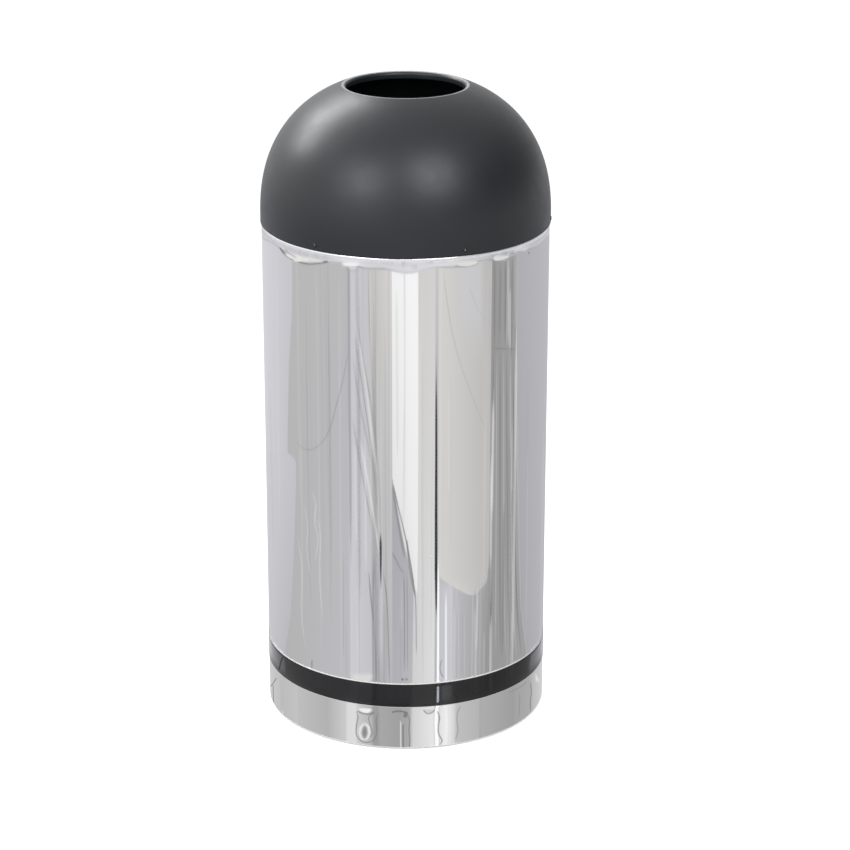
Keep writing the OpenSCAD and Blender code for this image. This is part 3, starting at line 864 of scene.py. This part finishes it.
def swept(spots, shine, side):
    """Carries a grid on round the back, past what the photograph shows, and fades it out."""
    last = -1 if side > 0 else 0
    edge = spots[:, last]
    for degrees, alpha in SWEEP:
        c, s = cos(radians(degrees) * side), sin(radians(degrees) * side)
        moved = np.stack([edge[:, 0] * c - edge[:, 1] * s, edge[:, 0] * s + edge[:, 1] * c, edge[:, 2]], -1)
        tone = shine[:, last] * np.array([1, 1, 1, alpha])
        spots = np.concatenate([spots, moved[:, None]][::side], 1)
        shine = np.concatenate([shine, tone[:, None]][::side], 1)
    return spots, shine


def card_rows(stations, fades, sign):
    """Rows of a card, close enough for its bend, with one where each fade ends."""
    marks = np.array(stations, float)
    rows = [marks[0]]
    for a, b in zip(marks, marks[1:]):
        steps = max(1, round(abs(b[0] - a[0]) / PITCH))
        rows += [a + (b - a) * (i + 1) / steps for i in range(steps)]
    for size, at in zip(fades, (marks[0][0] + sign * fades[0], marks[-1][0] - sign * fades[1])):
        keys = [sign * q[0] for q in rows]
        where = int(np.searchsorted(keys, sign * at))
        if size and 0 < where < len(rows) and abs(keys[where] - sign * at) > SAME:
            before, after = rows[where - 1], rows[where]
            rows.insert(where, before + (after - before) * (at - before[0]) / (after[0] - before[0]))
    return np.array(rows)


def card(layer, soft, fades, stations, glows, heights=False, round_back=True):
    """A card by the picture's columns: stations are (y, left x, right x) from the top down, or
    (height in mm, left x, right x). Its glows are one, or left and right, or these and two more at
    the bottom. Its sides fade over soft, its top and bottom over fades."""
    left, right = (glows * 2)[:2]
    low_left, low_right = glows[2:] or (left, right)
    rows = card_rows(stations, fades, -1 if heights else 1)
    y, x0, x1 = rows[:, 0], rows[:, 1], np.maximum(rows[:, 2], rows[:, 1] + THIN)
    from_top, from_low = np.abs(y - y[0]), np.abs(y[-1] - y)
    # Columns are even in turn, so that chords of the bowl stay short near the outline
    ends = on_body(np.stack([x0, x1]), MIDDLE_Y)[0][:, :, None]
    inner = max(2, ceil(float((ends[1] - ends[0]).max()) / COLUMN_TURN))
    edge = np.minimum(soft / (x1 - x0), MOST_SOFT)
    shares = edge[:, None] + (1 - 2 * edge[:, None]) * np.arange(inner + 1)[None, :] / inner
    shares = np.hstack([np.zeros((len(y), 1)), shares, np.ones((len(y), 1))])
    even = np.sin(ends[0] + (ends[1] - ends[0]) * shares) - np.sin(ends[0])
    columns = even / np.maximum(np.sin(ends[1]) - np.sin(ends[0]), LEAST)
    columns[:, 1] = edge
    columns[:, -2] = 1 - edge
    columns = np.maximum.accumulate(columns, axis=1)
    x = x0[:, None] + columns * (x1 - x0)[:, None]
    turn, z = on_body(x, y[:, None])
    if heights:
        z = np.broadcast_to(y[:, None] * MM, x.shape)
    down = ((y - y[0]) / (y[-1] - y[0]))[:, None, None]
    side = columns[:, :, None]
    shine = (left + (right - left) * side) * (1 - down) + (low_left + (low_right - low_left) * side) * down
    for away, size in zip((from_top, from_low), fades):
        if size:
            shine[:, :, 3] *= np.minimum(1, away / size)[:, None]
    spots = mirrored(turn, z, layer)
    for side, reached in ((-1, x0.max() <= LEFT), (1, x1.min() >= RIGHT)):
        if reached and round_back:
            spots, shine = swept(spots, shine, side)
    shine[:, (0, -1), 3] = 0
    patch(spots, shine)


def ring_card(stations):
    """The room behind all cards, from the foot outwards and up: (radius, height, and the glows to the
    left, to the right and at the back). Without a height a station lies on the bowl."""
    turns = np.arange(RING_COLUMNS + 1) * TURN / RING_COLUMNS
    to_right = (1 + np.cos(turns))[:, None] / 2
    to_back = np.maximum(np.sin(turns), 0)[:, None] ** 3
    spots, shines = [], []
    for a, b in zip(stations, stations[1:] + stations[-1:]):
        steps = max(1, round((b[0] - a[0]) / RING_STEP)) if b[1] is None else 1
        for t in np.arange(steps) / steps:
            radius = a[0] + (b[0] - a[0]) * t
            height = bowl_height(radius, 0) - RING_DROP if a[1] is None else a[1]
            left, right, back = (p + (q - p) * t for p, q in zip(a[2:], b[2:]))
            spots.append(np.stack([radius * np.cos(turns), radius * np.sin(turns), height + 0 * turns], -1))
            side = left + (right - left) * to_right
            shines.append(side + (back - side) * to_back)
    patch(np.array(spots), np.array(shines))


def streak(layer, width, shine, points, heights=False):
    """A thin ribbon along points of the picture, or of (x, height in mm), that fades to both sides."""
    global streak_count
    streak_count += 1
    path = [np.array(p, float) for p in points]
    # Its corners are cut off twice
    for _ in range(2):
        cut = [path[0]]
        for a, b in zip(path, path[1:]):
            cut += [a * 0.75 + b * 0.25, a * 0.25 + b * 0.75]
        path = cut + [path[-1]]
    dense = []
    for a, b in zip(path, path[1:]):
        steps = max(1, round(float(np.linalg.norm(b - a)) / PITCH))
        dense += [a + (b - a) * i / steps for i in range(steps)]
    dense = np.array(dense + [path[-1]])
    ahead = np.gradient(dense, axis=0)
    ahead /= np.linalg.norm(ahead, axis=1, keepdims=True)
    across = np.stack([-ahead[:, 1], ahead[:, 0]], 1) * width * STREAK_WIDE / 2
    count = len(dense)
    from_end = np.minimum(np.arange(count), count - 1 - np.arange(count)) / count
    taper = np.minimum(1, TAPER * from_end + TIP)
    grid = dense[:, None, :] + (across * taper[:, None])[:, None, :] * np.array([-1, 0, 1])[None, :, None]
    turn, z = on_body(grid[..., 0], grid[..., 1])
    if heights:
        z = grid[..., 1] * MM
    shines = np.tile(shine, (count, 3, 1))
    shines[:, (0, 2), 3] = 0
    patch(mirrored(turn, z, layer + STREAK_LIFT * streak_count), shines)


def streaks(layer, rows, heights=False):
    """Streaks of one layer: each row is a width, a level and the points."""
    for width, level, *points in rows:
        streak(layer, width, glow(level), points, heights)


# The room's plain tones, from the foot out: radius and level, then radius, height and three brightnesses
RING_TONES = [
    (0.2, 178), (0.3, 180), (0.4, 182), (0.5, 183), (0.6, 184), (0.8, 186), (0.9, 190), (1.0, 198),
    (1.1, 214),
]
ROOM_TONES = [
    (1.2, None, 1.0, 0.9, 0.95), (1.25, None, 1.2, 0.2, 0.95), (1.4, None, 1.2, 0.18, 0.95),
    (1.6, None, 1.1, 0.2, 0.95), (1.85, 1.9, 1.1, 0.36, 0.95), (1.7, 2.3, 1.1, 0.62, 0.95),
    (0.9, 2.6, 1.05, 0.8, 0.9), (0.01, 2.6, 0.95, 0.95, 0.95),
]
ring_card([(radius, None, *cool(level) * 3) for radius, level in RING_TONES] + [
    (radius, height, *[np.array((tone, tone, tone, 1.0)) for tone in tones])
    for radius, height, *tones in ROOM_TONES
])

# Left half of the wall, from the outer edge to the white strip
SKY, FOOT = 185, 765
EVEN = (0, 0)
card(1, 0.6, EVEN, [(SKY, 290, 354), (FOOT, 284, 354)], plain(184, 185, 176) + cool(192))
card(2, 0.6, (0, 2), [(SKY, LEFT, 301), (290, LEFT, 299.5), (344, LEFT, 295.8), (416, LEFT, 293.4),
     (437, LEFT, 293.2)], cool(211, 199, 209, 198))
card(3, 0.6, EVEN, [(435, LEFT, 293.4), (440, LEFT, 299), (445, LEFT, 301), (467, LEFT, 300.8),
     (534, LEFT, 298), (602, LEFT, 294), (642, LEFT, 288.5), (FOOT, LEFT, 279)], cool(206, 197, 192, 180))
card(2, 1.5, EVEN, [(SKY, 354, 373), (FOOT, 350, 374)], cool(204) + plain(196) + cool(206, 196))
card(3, 1.2, EVEN, [(SKY, 371, 393.5), (FOOT, 374, 393.5)], warm(194, 216) + cool(166, 180))
card(4, 1.4, (0, 60), [(SKY, 350.6, 354.4), (470, 350.8, 354.6), (560, 351, 354)], cool(168))
card(4, 1.8, (30, 0), [(540, 372.6, 377.4), (620, 372.4, 377.6), (FOOT, 372.8, 377.8)], cool(154))

# Middle: white strip with its wedge, warm strip, dark line and white line
card(2, 0.6, (30, 0), [(440, 390, 419), (FOOT, 386, 413)], cool(170, 176, 176, 190))
card(5, 0.6, (0, 8), [(SKY, 392.8, 418.4), (466, 393, 418.4), (500, 398.2, 418.4), (540, 406.2, 418.2),
     (586, 415, 417.6)], plain(243, 248, 222, 236))
card(6, 0.9, (0, 40), [(SKY, 403.8, 406.4), (330, 404.2, 406.2), (520, 404.4, 406)], cool(221))
card(3, 0.8, EVEN, [(SKY, 418, 434.8), (FOOT, 411, 434.8)], warm(205, 207) + plain(206, 224))
card(7, 0.4, (60, 14), [(318, 434.9, 435.2), (400, 434.3, 436.5), (560, 433.9, 437.1), (592, 434.7, 436.7),
     (612, 435.8, 436.5)], [glow(52, NAVY)])
card(8, 0.5, (25, 0), [(535, 437, 437.6), (575, 436.6, 439), (FOOT, 436.2, 439.4)], plain(255))
card(4, 1.0, (20, 0), [(560, 439, 452), (FOOT, 439, 454)], plain(196) + cool(206, 200, 196))
card(8, 1.6, (20, 0), [(578, 444, 446.6), (FOOT, 444.4, 448)], [glow(246, LAMP)])

# Right half: beige panel, dark streaked panel and the outer edge
card(2, 3, EVEN, [(556, 448, 489), (FOOT, 448, 489)], cool(196) + plain(154, 188, 146))
card(3, 0.6, EVEN, [(SKY, 487, 510.4), (330, 487, 511), (430, 487, 512.5), (470, 487, 514),
     (540, 487, 516.2), (600, 486, 518.8), (646, 484, 524.6), (FOOT, 480, 536)], plain(152, 160, 150, 158))
card(5, 0.5, (0, 1), [(SKY, 437, 486.6), (556, 437.4, 486.5), (566, 439, 486), (571, 445, 485.4),
     (574, 450, 483), (577, 454, 481), (580, 459, 478.5), (583, 464, 476), (585.5, 469, 474)],
     warm(211, 184, 210, 186))
card(6, 6, (0, 60), [(SKY, 447, 480), (300, 455, 482), (350, 470, 484)], [glow(204, COOL, 0.6),
     glow(206, COOL, 0.6)])
card(4, 0.5, EVEN, [(SKY, 510.6, RIGHT), (330, 511.2, RIGHT), (430, 512.7, RIGHT), (470, 514.2, RIGHT),
     (540, 516.4, RIGHT), (600, 519, RIGHT), (646, 524.8, RIGHT), (690, 530, RIGHT), (FOOT, 537, RIGHT)],
     cool(176, 184, 168, 180))
card(6, 0.4, (0, 3), [(SKY, 487, 511), (328, 487, 511.2), (331, 487, 511.2)], [glow(150, PLAIN, 0.55),
     glow(158, PLAIN, 0.55)])
card(11, 0.3, (5, 14), [(518, 381.4, 381.9), (530, 380.4, 382.9), (556, 380.7, 382.8),
     (582, 381.4, 382.1)], [glow(48, NAVY)])

# Slanted edges and folds of the room's curtains, with the dark panel's seven folds, then wavy lines
PANEL_FOLDS = [
    (0.1, 1.3, 122), (0.24, 1.1, 180), (0.37, 1.2, 128), (0.5, 1.5, 176), (0.62, 1.1, 130),
    (0.76, 1.4, 182), (0.87, 1.2, 126),
]
streaks(9, [
    (0.9, 150, (352, 330), (347, 360), (339, 390), (334, 411), (326, 425), (318, 431.5), (311, 432),
     (305, 428.5), (302, 424)),
    (0.8, 176, (441.5, 250), (447.5, 300), (456, 338), (466, 368), (480, 405), (486.3, 417)),
    (0.8, 182, (466, 268), (474, 289), (485.5, 305)),
    (1.6, 158, (361, 305), (365, 335), (370, 365), (374, 392), (378, 425), (381, 470), (381.8, 528)),
    (1.5, 172, (356, 338), (361, 378), (369, 420), (377, 470), (381, 510)),
    (2.2, 218, (358, 300), (367, 352), (373, 410), (379, 460)),
    (1.2, 168, (371, 250), (372.5, 330), (377, 400), (381, 500)),
    (2.6, 138, (393.5, 468), (396.5, 490), (401, 520), (405, 545)),
    (1.1, 128, (393, 540), (397, 548), (400, 556), (404, 561)),
    (2.0, 130, (407.5, 527), (408.5, 545), (411, 562), (415.5, 588)),
    (1.2, 140, (404.4, 560), (404.8, 600), (404.6, 668)),
    (1.0, 150, (407.2, 560), (407.8, 600), (407.6, 668)),
    (1.2, 150, (414, 575), (416, 592), (416.5, 650)),
    (1.3, 104, (393.2, 462), (398, 488), (404.5, 516), (410, 545), (415.6, 585)),
    (1.0, 148, (358, 318), (363, 352), (368, 390), (373, 430), (377, 470)),
    (1.4, 164, (355.5, 400), (361, 440), (368, 480), (374, 520)),
    (2.0, 222, (362, 420), (368, 455), (375, 500), (380, 540)),
    (1.6, 138, (370, 560), (372, 590), (376, 628), (377, 680)),
    (1.4, 146, (384, 560), (388, 590), (389, 640), (390, 680)),
    (0.9, 118, (487.6, 328.4), (498, 328.8), (511, 329.6)),
    (1.3, 130, (489.5, 238), (490, 280), (490.2, 326)), (1.0, 142, (494.5, 238), (495, 280), (495.2, 326)),
    (1.5, 134, (499.5, 238), (500, 280), (500.4, 326)), (1.1, 142, (505.5, 240), (506, 280), (506.2, 326)),
    (1.0, 196, (502.6, 240), (503, 280), (503.2, 326)),
] + [
    (width, level, (487 + 24 * t, 332), (487 + 27 * t, 470), (486.4 + 32 * t, 596), (484 + 41 * t, 650))
    for t, width, level in PANEL_FOLDS
] + [
    (0.9, 206, (316, 476), (320, 492), (317, 508), (322, 524), (318, 548)),
    (0.8, 204, (308, 490), (312, 512), (309, 534), (314, 566)),
    (0.8, 204, (322, 488), (316, 500), (325, 515), (321, 560), (325, 610)),
    (1.0, 202, (301, 520), (306, 560), (303, 600), (307, 640)),
])

# Fine upright streaks, as a drawn curtain and the rolled sheet give them: the columns and rows between
# which they stand, how many they are and how strong
random.seed(11)
STREAKS = [
    (303, 351, 240, 680, 16, 0.2), (354, 372, 240, 680, 10, 0.3), (372, 392, 240, 680, 9, 0.3),
    (419, 433, 240, 680, 6, 0.3), (440, 486, 240, 575, 8, 0.14), (488, 511, 238, 329, 12, 0.4),
    (488, 513, 330, 680, 14, 0.6), (344, 404, 560, 690, 16, 0.3), (452, 522, 585, 690, 20, 0.3),
    (512, 540, 240, 690, 5, 0.12), (274, 292, 240, 640, 5, 0.12), (394, 417, 262, 520, 5, 0.25),
]
for x0, x1, y0, y1, count, strength in STREAKS:
    for _ in range(count):
        x = random.uniform(x0, x1)
        lean = random.uniform(-1.2, 1.2)
        top = random.uniform(y0 - 40, y0 + 0.45 * (y1 - y0))
        low = random.uniform(max(top + 60, y0 + 0.5 * (y1 - y0)), y1 + 30)
        level = random.choice((120, 140, 232, 246))
        alpha = strength * random.uniform(0.25, 1.0)
        width = random.uniform(0.7, 2.6)
        points = [(x, top), (x + lean * 0.4, (top + low) / 2), (x + lean, low)]
        streak(10, width, glow(level, PLAIN, alpha), points)

# Below the band: soft upright tones, as left and right column and the level at each
FOOT_TONES = [
    (LEFT, 283, 200, 190), (283, 300, 186, 196), (300, 330, 190, 176), (330, 346, 178, 205),
    (346, 358, 216, 222), (358, 372, 206, 176), (372, 380, 160, 152), (380, 403, 168, 158),
    (403, 412, 160, 176), (412, 434, 206, 232), (439, 447, 214, 246), (447, 456, 240, 196),
    (456, 480, 192, 178), (480, 512, 174, 158), (512, 530, 160, 172), (530, RIGHT, 178, 206),
]
for i, (x0, x1, a, b) in enumerate(FOOT_TONES):
    sides = (x0 - 2, x1 + 2)
    card(14 + 0.3 * (i % 2), 4, (12, 0), [(76, *sides), (3, *sides)], plain(a, b), heights=True)

# What the sheet's dents gather below the band: the faces of a vase at x 366 with its lens and that
# lens's grey middles, of a bar at x 406, of a boat at x 430, of the white line and of the right edge
card(15, 2.2, (1.6, 1.5), [(708, 359, 372), (710.6, 358.6, 373), (713, 360.5, 371), (715, 364, 368)],
     plain(240))
card(15, 1.2, (2, 2), [(725, 363, 366.6), (729, 359.6, 370), (735, 358.8, 371.2), (741, 360.4, 369.4),
     (744, 363.4, 366.8)], plain(228))
card(16, 1.9, (2.5, 2.5), [(726.5, 363.4, 366.2), (730, 361.6, 368), (735, 360.8, 369), (740, 362, 367.8),
     (742.5, 363.6, 366)], plain(156))
card(17, 1.0, (2, 2), [(729, 363.8, 366), (734, 362.8, 367), (739, 363.8, 366)], plain(140))
card(16, 1.6, (1, 2.2), [(713, 403.4, 409.4), (716, 402.6, 409), (719.6, 403.6, 407.6)], plain(122, 134))
card(16, 0.8, (0.6, 1), [(709.6, 423.4, 435.8), (712.4, 425, 434), (715, 428, 431.2)], plain(206))
card(15, 0.7, (3, 1), [(707, 434.8, 439.2), (752, 434.6, 439.2)], plain(250))
card(16, 1.4, (2, 3), [(669, 533.4, 534.4), (680.5, 533.8, 540)], plain(218))
# Lines at the left edge
streaks(16, [
    (1.0, 120, (278, 674.8), (275.4, 680.2), (271.7, 684.2)),
    (0.9, 120, (275, 681.5), (275, 692), (275, 704)),
])
# Lines of the vase, by the bar, of the boat, beside the white line and at the right edge
streaks(17, [
    (1.4, 100, (357.9, 712), (361.1, 714.8), (365.7, 716.2), (371.2, 715), (374.4, 712.5)),
    (1.3, 128, (356.1, 712.5), (358.4, 715.7), (358.8, 720.3), (357.7, 726.7), (356.8, 733.6),
     (357.4, 738.7), (359.7, 742.8), (363, 745.3), (367.1, 746), (372.1, 745.1), (375.4, 741.9),
     (376.7, 735.9), (376.5, 729), (376, 722.1), (377.2, 717.5), (379.5, 713.9)),
    (1.2, 140, (374, 713.9), (369.8, 717.1), (368.2, 720.3), (368.9, 724.9), (370.8, 729.5),
     (372.1, 733.6), (371.9, 737.3), (370.3, 740.5)),
    (1.7, 96, (392, 712.6), (397, 711.2), (403, 711.6), (408, 713.4)),
    (1.3, 108, (403.5, 726), (403.2, 738), (403.4, 756)),
    (1.2, 232, (400.9, 722), (400.8, 735), (401, 756)),
    (1.1, 122, (409, 716), (410, 724), (408.8, 733), (410.2, 742), (409.2, 754)),
    (1.2, 108, (423.3, 710.2), (426.5, 714.3), (429.7, 714.8), (433.4, 713), (435.7, 709.7)),
    (1.2, 110, (437.5, 712), (439.4, 715.7), (440.8, 719.8), (439.8, 725.4), (438.9, 730.4),
     (438.9, 735.9), (440.8, 740.5), (442.6, 744.2), (439.4, 749.7)),
    (1.2, 150, (461, 706), (457.8, 712), (456.4, 718.5), (457.1, 724.9), (458, 730.4), (457.3, 736.8),
     (455, 744.2)),
    (0.8, 140, (518.8, 692), (518.8, 704), (518.4, 719)),
    (0.9, 140, (507.6, 692.5), (516, 687.3), (523.7, 682.2), (525.4, 678.7)),
    (1.0, 118, (529, 680), (530.6, 690), (529.2, 700), (530.2, 712)),
])

# The zone that the hoop's welds draw in, and the bead over it: the picture's column, the tone there
# and how strongly a dark line shows at the zone's edge
ZONE_TONES = [
    (272, 196, 0), (286, 196, 0.1), (290, 200, 0.75), (300, 198, 0.85), (312, 195, 0.8), (330, 194, 0.6),
    (336, 200, 0.15), (344, 212, 0.2), (350, 218, 0.5), (362, 214, 0.55), (372, 206, 0.3), (384, 202, 0.4),
    (391, 204, 0.12), (400, 208, 0.02), (418, 210, 0.02), (430, 210, 0.05), (440, 212, 0.3),
    (452, 206, 0.4), (470, 195, 0.35), (480, 191, 0.1), (488, 174, 0.2), (500, 174, 0.3), (508, 184, 0.1),
    (524, 184, 0.15), (540.6, 190, 0.05),
]
ZONE_EDGE = 1.3 * MM
ZONE_LAYER = 11
ZONE_TURN = 86.9
WHITE_TURN = 74
BEAD_STEPS = (0.003, 0.006)


def zone_card():
    turn = np.radians(np.linspace(-ZONE_TURN, ZONE_TURN, 260))
    seen = PHOTO_MID_X + PHOTO_SCALE[0] * BODY_R * np.sin(turn) / (-EYE.y - BODY_R * np.cos(turn))
    columns, levels, lines = zip(*ZONE_TONES)
    level, line_share = np.interp(seen, columns, levels), np.interp(seen, columns, lines)
    tone, dark, under = (np.array(cool(*levels)) for levels in (level, level * 0.5, level - 26))
    light = np.array(plain(*level + 12))
    edge = tone + (dark - tone) * line_share[:, None]
    # The bead's white line ends short of the outline, where a view from behind would show it
    share = np.clip((np.degrees(np.abs(turn)) - WHITE_TURN) / 10, 0, 1)[:, None]
    white = glow(252) * (1 - share) + tone * share
    zone = weld_height(turn + FRONT)
    rows = [
        (zone + 1.4 * ZONE_EDGE, edge, 0), (zone + 0.5 * ZONE_EDGE, edge, 0.9),
        (zone - 0.1 * ZONE_EDGE, edge, 1), (zone - 0.7 * ZONE_EDGE, tone, 1),
        (zone * 0.62, light, 1), (zone * 0.48, tone, 1),
        (2.0 * MM, tone, 1), (1.4 * MM, under, 1), (0.7 * MM, white, 1), (0, white, 1),
    ]
    top = BODY_TOP - BEAD_R + 0 * turn
    grid = np.array([mirrored(turn, top - down, ZONE_LAYER) for down, _, _ in rows])
    shine = np.array([base * np.array([1, 1, 1, alpha]) for _, base, alpha in rows])
    for side in (-1, 1):
        grid, shine = swept(grid, shine, side)
    grid, shine = list(grid), list(shine)
    reach = np.hypot(grid[-1][:, 0], grid[-1][:, 1])
    for step in BEAD_STEPS:
        grown = grid[-1] * ((reach + step) / reach)[:, None]
        grown[:, 2] = bowl_height(reach + step, ZONE_LAYER)
        grid.append(grown)
        shine.append(shine[-1])
    patch(np.array(grid), np.array(shine))


zone_card()

# Small bright and beige lenses in that zone
card(13, 1.5, (2, 0.8), [(233, 291, 297), (238, 294, 318), (241, 299, 330), (242.5, 306, 326)],
     warm(226, 230))
card(13, 3, (1.5, 1), [(242, 346, 362), (244.5, 345, 365), (247, 350, 361)], plain(240))
card(14, 1, (0.6, 0.3), [(247.6, 351, 361), (249, 352, 360.5), (250.2, 354, 359)], warm(214))
card(13, 2.4, (1.4, 0.6), [(241, 441, 476), (244.4, 446, 474), (247, 456, 468)], warm(214, 222))
card(13, 1.6, (1, 0.8), [(235.8, 490, 504), (238.8, 487.6, 503), (241.4, 489, 499)], plain(222, 218))
card(13, 1.2, (1, 0.8), [(226.4, 511, 524), (229, 507, 522), (232, 506, 518)], cool(206))
streaks(14, [
    (1.1, 84, (288.6, 228), (291, 232.5), (296, 238), (302, 241)),
    (0.9, 120, (293, 229.5), (297, 234), (304, 238.4)),
    (1.4, 92, (329, 242.4), (333.5, 242)),
])
streaks(15, [
    (0.8, 104, (350.6, 248.2), (354, 250.6), (358, 250.9), (362, 248.8)),
    (1.8, 74, (402, 243.6), (406, 243.8)),
    (1.1, 110, (412, 247), (417.5, 247.2)), (0.9, 128, (425, 242.2), (432.5, 242)),
    (0.8, 132, (452, 246), (460, 247.6), (468, 246.6), (475, 243.6)),
    (0.8, 140, (486.5, 241.6), (494, 241.8), (503, 238.4)), (1.0, 128, (503.5, 234.6), (508.5, 233.6)),
    (1.6, 96, (521, 233.8), (522.6, 233.4)),
])

# Panels at the back of the room, which only views from behind show: middle and half width in degrees,
# lowest and highest radius, and level
BACK_PANELS = [
    (180, 5, 0.3, 0.98, 212), (188, 2, 0.25, 0.9, 172), (171, 1.4, 0.3, 0.95, 224), (196, 1, 0.3, 0.9, 222),
]
PANEL_LAYER = 16
for middle, half, low, high, level in BACK_PANELS:
    angles = FRONT + np.radians(middle + half * np.array([-1, -0.8, 0, 0.8, 1]))
    reach = np.linspace(low, high, 60)[:, None]
    height = bowl_height(reach, PANEL_LAYER) + 0 * angles[None, :]
    spots = np.stack([reach * np.cos(angles), reach * np.sin(angles), height], -1)
    shine = np.tile(cool(level), (60, 5, 1))
    shine[:, (0, 4), 3] = 0
    shine[(0, -1), :, 3] = 0
    patch(spots, shine)

# What the band alone shows: its bright line and its lighter ends
card(12, 0.7, (4, 2), [(96.4, 436.6, 438.9), (60, 436.4, 438.9)], [glow(255, LAMP, 1, 12)], heights=True)
card(12, 3, (4, 3), [(96.4, 440, 453), (60, 440, 453)], [glow(255, COOL, 1, 1.5)] + cool(255), heights=True)
BAND_ENDS = [
    (12, 1.2, LEFT, 287, LEFT, 289, 246, 232), (13, 2, LEFT, 281, LEFT, 282.5, 252, 252),
    (12, 1.5, 528.5, RIGHT, 526, RIGHT, 236, 246),
]
for layer, soft, x0, x1, x2, x3, a, b in BAND_ENDS:
    card(layer, soft, (5, 5), [(100, x0, x1), (58, x2, x3)], cool(a, b), heights=True, round_back=False)
streaks(14, [(1.2, 90, (286.5, 98), (283, 80), (281, 62))], heights=True)

# Marks over the band
card(11, 4, (5, 2), [(668, 350, 376), (676, 352, 374), (680, 356, 370)], plain(216))
streaks(12, [
    (2.0, 84, (401.6, 676.4), (404.2, 676.4)), (1.8, 92, (405.6, 676.4), (408, 676.4)),
    (1.0, 120, (441.5, 655), (439.4, 663), (440.6, 670), (443.4, 674.6)),
    (1.0, 104, (313.6, 655.5), (313.4, 663.5)),
])


def build_cards():
    mesh = bpy.data.meshes.new("room_cards")
    mesh.from_pydata(card_points, [], card_faces)
    colours = mesh.color_attributes.new("glow", "FLOAT_COLOR", "POINT")
    colours.data.foreach_set("color", np.array(card_glow, np.float32).reshape(-1))
    made = add_object("room_cards", mesh)
    material = bpy.data.materials.new("room_cards")
    material.use_nodes = True
    tree = material.node_tree
    tree.nodes.clear()
    read = add_node(tree, "Attribute", None)
    read.attribute_name = "glow"
    shine = add_node(tree, "Emission", "Emission", read.outputs["Color"])
    clear = add_node(tree, "BsdfTransparent", "BSDF")
    mix = add_node(tree, "MixShader", "Shader", read.outputs["Alpha"], clear, shine)
    add_node(tree, "OutputMaterial", None, mix)
    material.cycles.emission_sampling = "NONE"
    mesh.materials.append(material)
    made.visible_camera = False
    made.visible_diffuse = False
    made.visible_transmission = False
    made.visible_volume_scatter = False
    made.visible_shadow = False


build_cards()

# Floor: white, with the bin's soft shadow
FLOOR_HALF = 9.0
FLOOR_GLOW = 0.5


def build_floor():
    corners = [(x * FLOOR_HALF, y * FLOOR_HALF, 0) for x, y in ((-1, -1), (1, -1), (1, 1), (-1, 1))]
    made = make_object("studio_floor", corners, [(0, 1, 2, 3)])
    paint = Finish("studio_floor", Base_Color=(0.9, 0.9, 0.9, 1), Roughness=0.9, Specular_IOR_Level=0.0,
                   Emission_Color=(1, 1, 1, 1))
    in_view = paint.add("LightPath", "Is Camera Ray")
    paint.drive("Emission Strength", paint.maths("MULTIPLY", in_view, FLOOR_GLOW))
    made.data.materials.append(paint.material)


build_floor()

# World: white where it is seen, plainer where it lights
world = bpy.data.worlds.new("studio")
bpy.context.scene.world = world
world.use_nodes = True
sky = world.node_tree
back = sky.nodes["Background"]
set_inputs(back, {"Color": (1, 1, 1, 1)})
rays = add_node(sky, "LightPath", None).outputs
seen = rays["Is Camera Ray"]
for kind in ("Is Glossy Ray", "Is Transmission Ray"):
    seen = add_node(sky, "Math", "Value", seen, rays[kind], operation="MAXIMUM")
level = add_node(sky, "MapRange", "Result", seen, To_Min=0.6, To_Max=1.0)
sky.links.new(level, back.inputs["Strength"])

# Lamps, all inside the room of cards: turn from the front, height angle, side, power and tint
LAMPS = [
    ("key_lamp_low", -114, 28, 0.36, 6.0, (0.97, 0.98, 1)),
    ("key_lamp", -130, 37, 0.34, 7.2, (0.97, 0.98, 1)),
    ("key_lamp_high", -148, 45, 0.34, 6.2, (0.97, 0.98, 1)),
    ("front_lamp", -36, 26, 0.72, 8.6, (0.92, 0.92, 1)),
    ("side_lamp", 24, 34, 0.72, 10.0, (0.95, 0.96, 1)),
]
DOME_MIDDLE = Vector((0, 0, 0.78))
LAMP_AWAY = 1.5
for name, turn, rise, side, power, tint in LAMPS:
    lamp_data = bpy.data.lights.new(name, "AREA")
    lamp_data.shape = "SQUARE"
    lamp_data.size = side
    lamp_data.energy = power
    lamp_data.color = tint
    lamp = bpy.data.objects.new(name, lamp_data)
    a, e = radians(turn), radians(rise)
    away = Vector((sin(a) * cos(e), -cos(a) * cos(e), sin(e)))
    lamp.location = DOME_MIDDLE + away * LAMP_AWAY
    lamp.rotation_mode = "QUATERNION"
    lamp.rotation_quaternion = away.to_track_quat("Z", "Y")
    bpy.context.scene.collection.objects.link(lamp)

bpy.context.scene.view_settings.view_transform = "Standard"
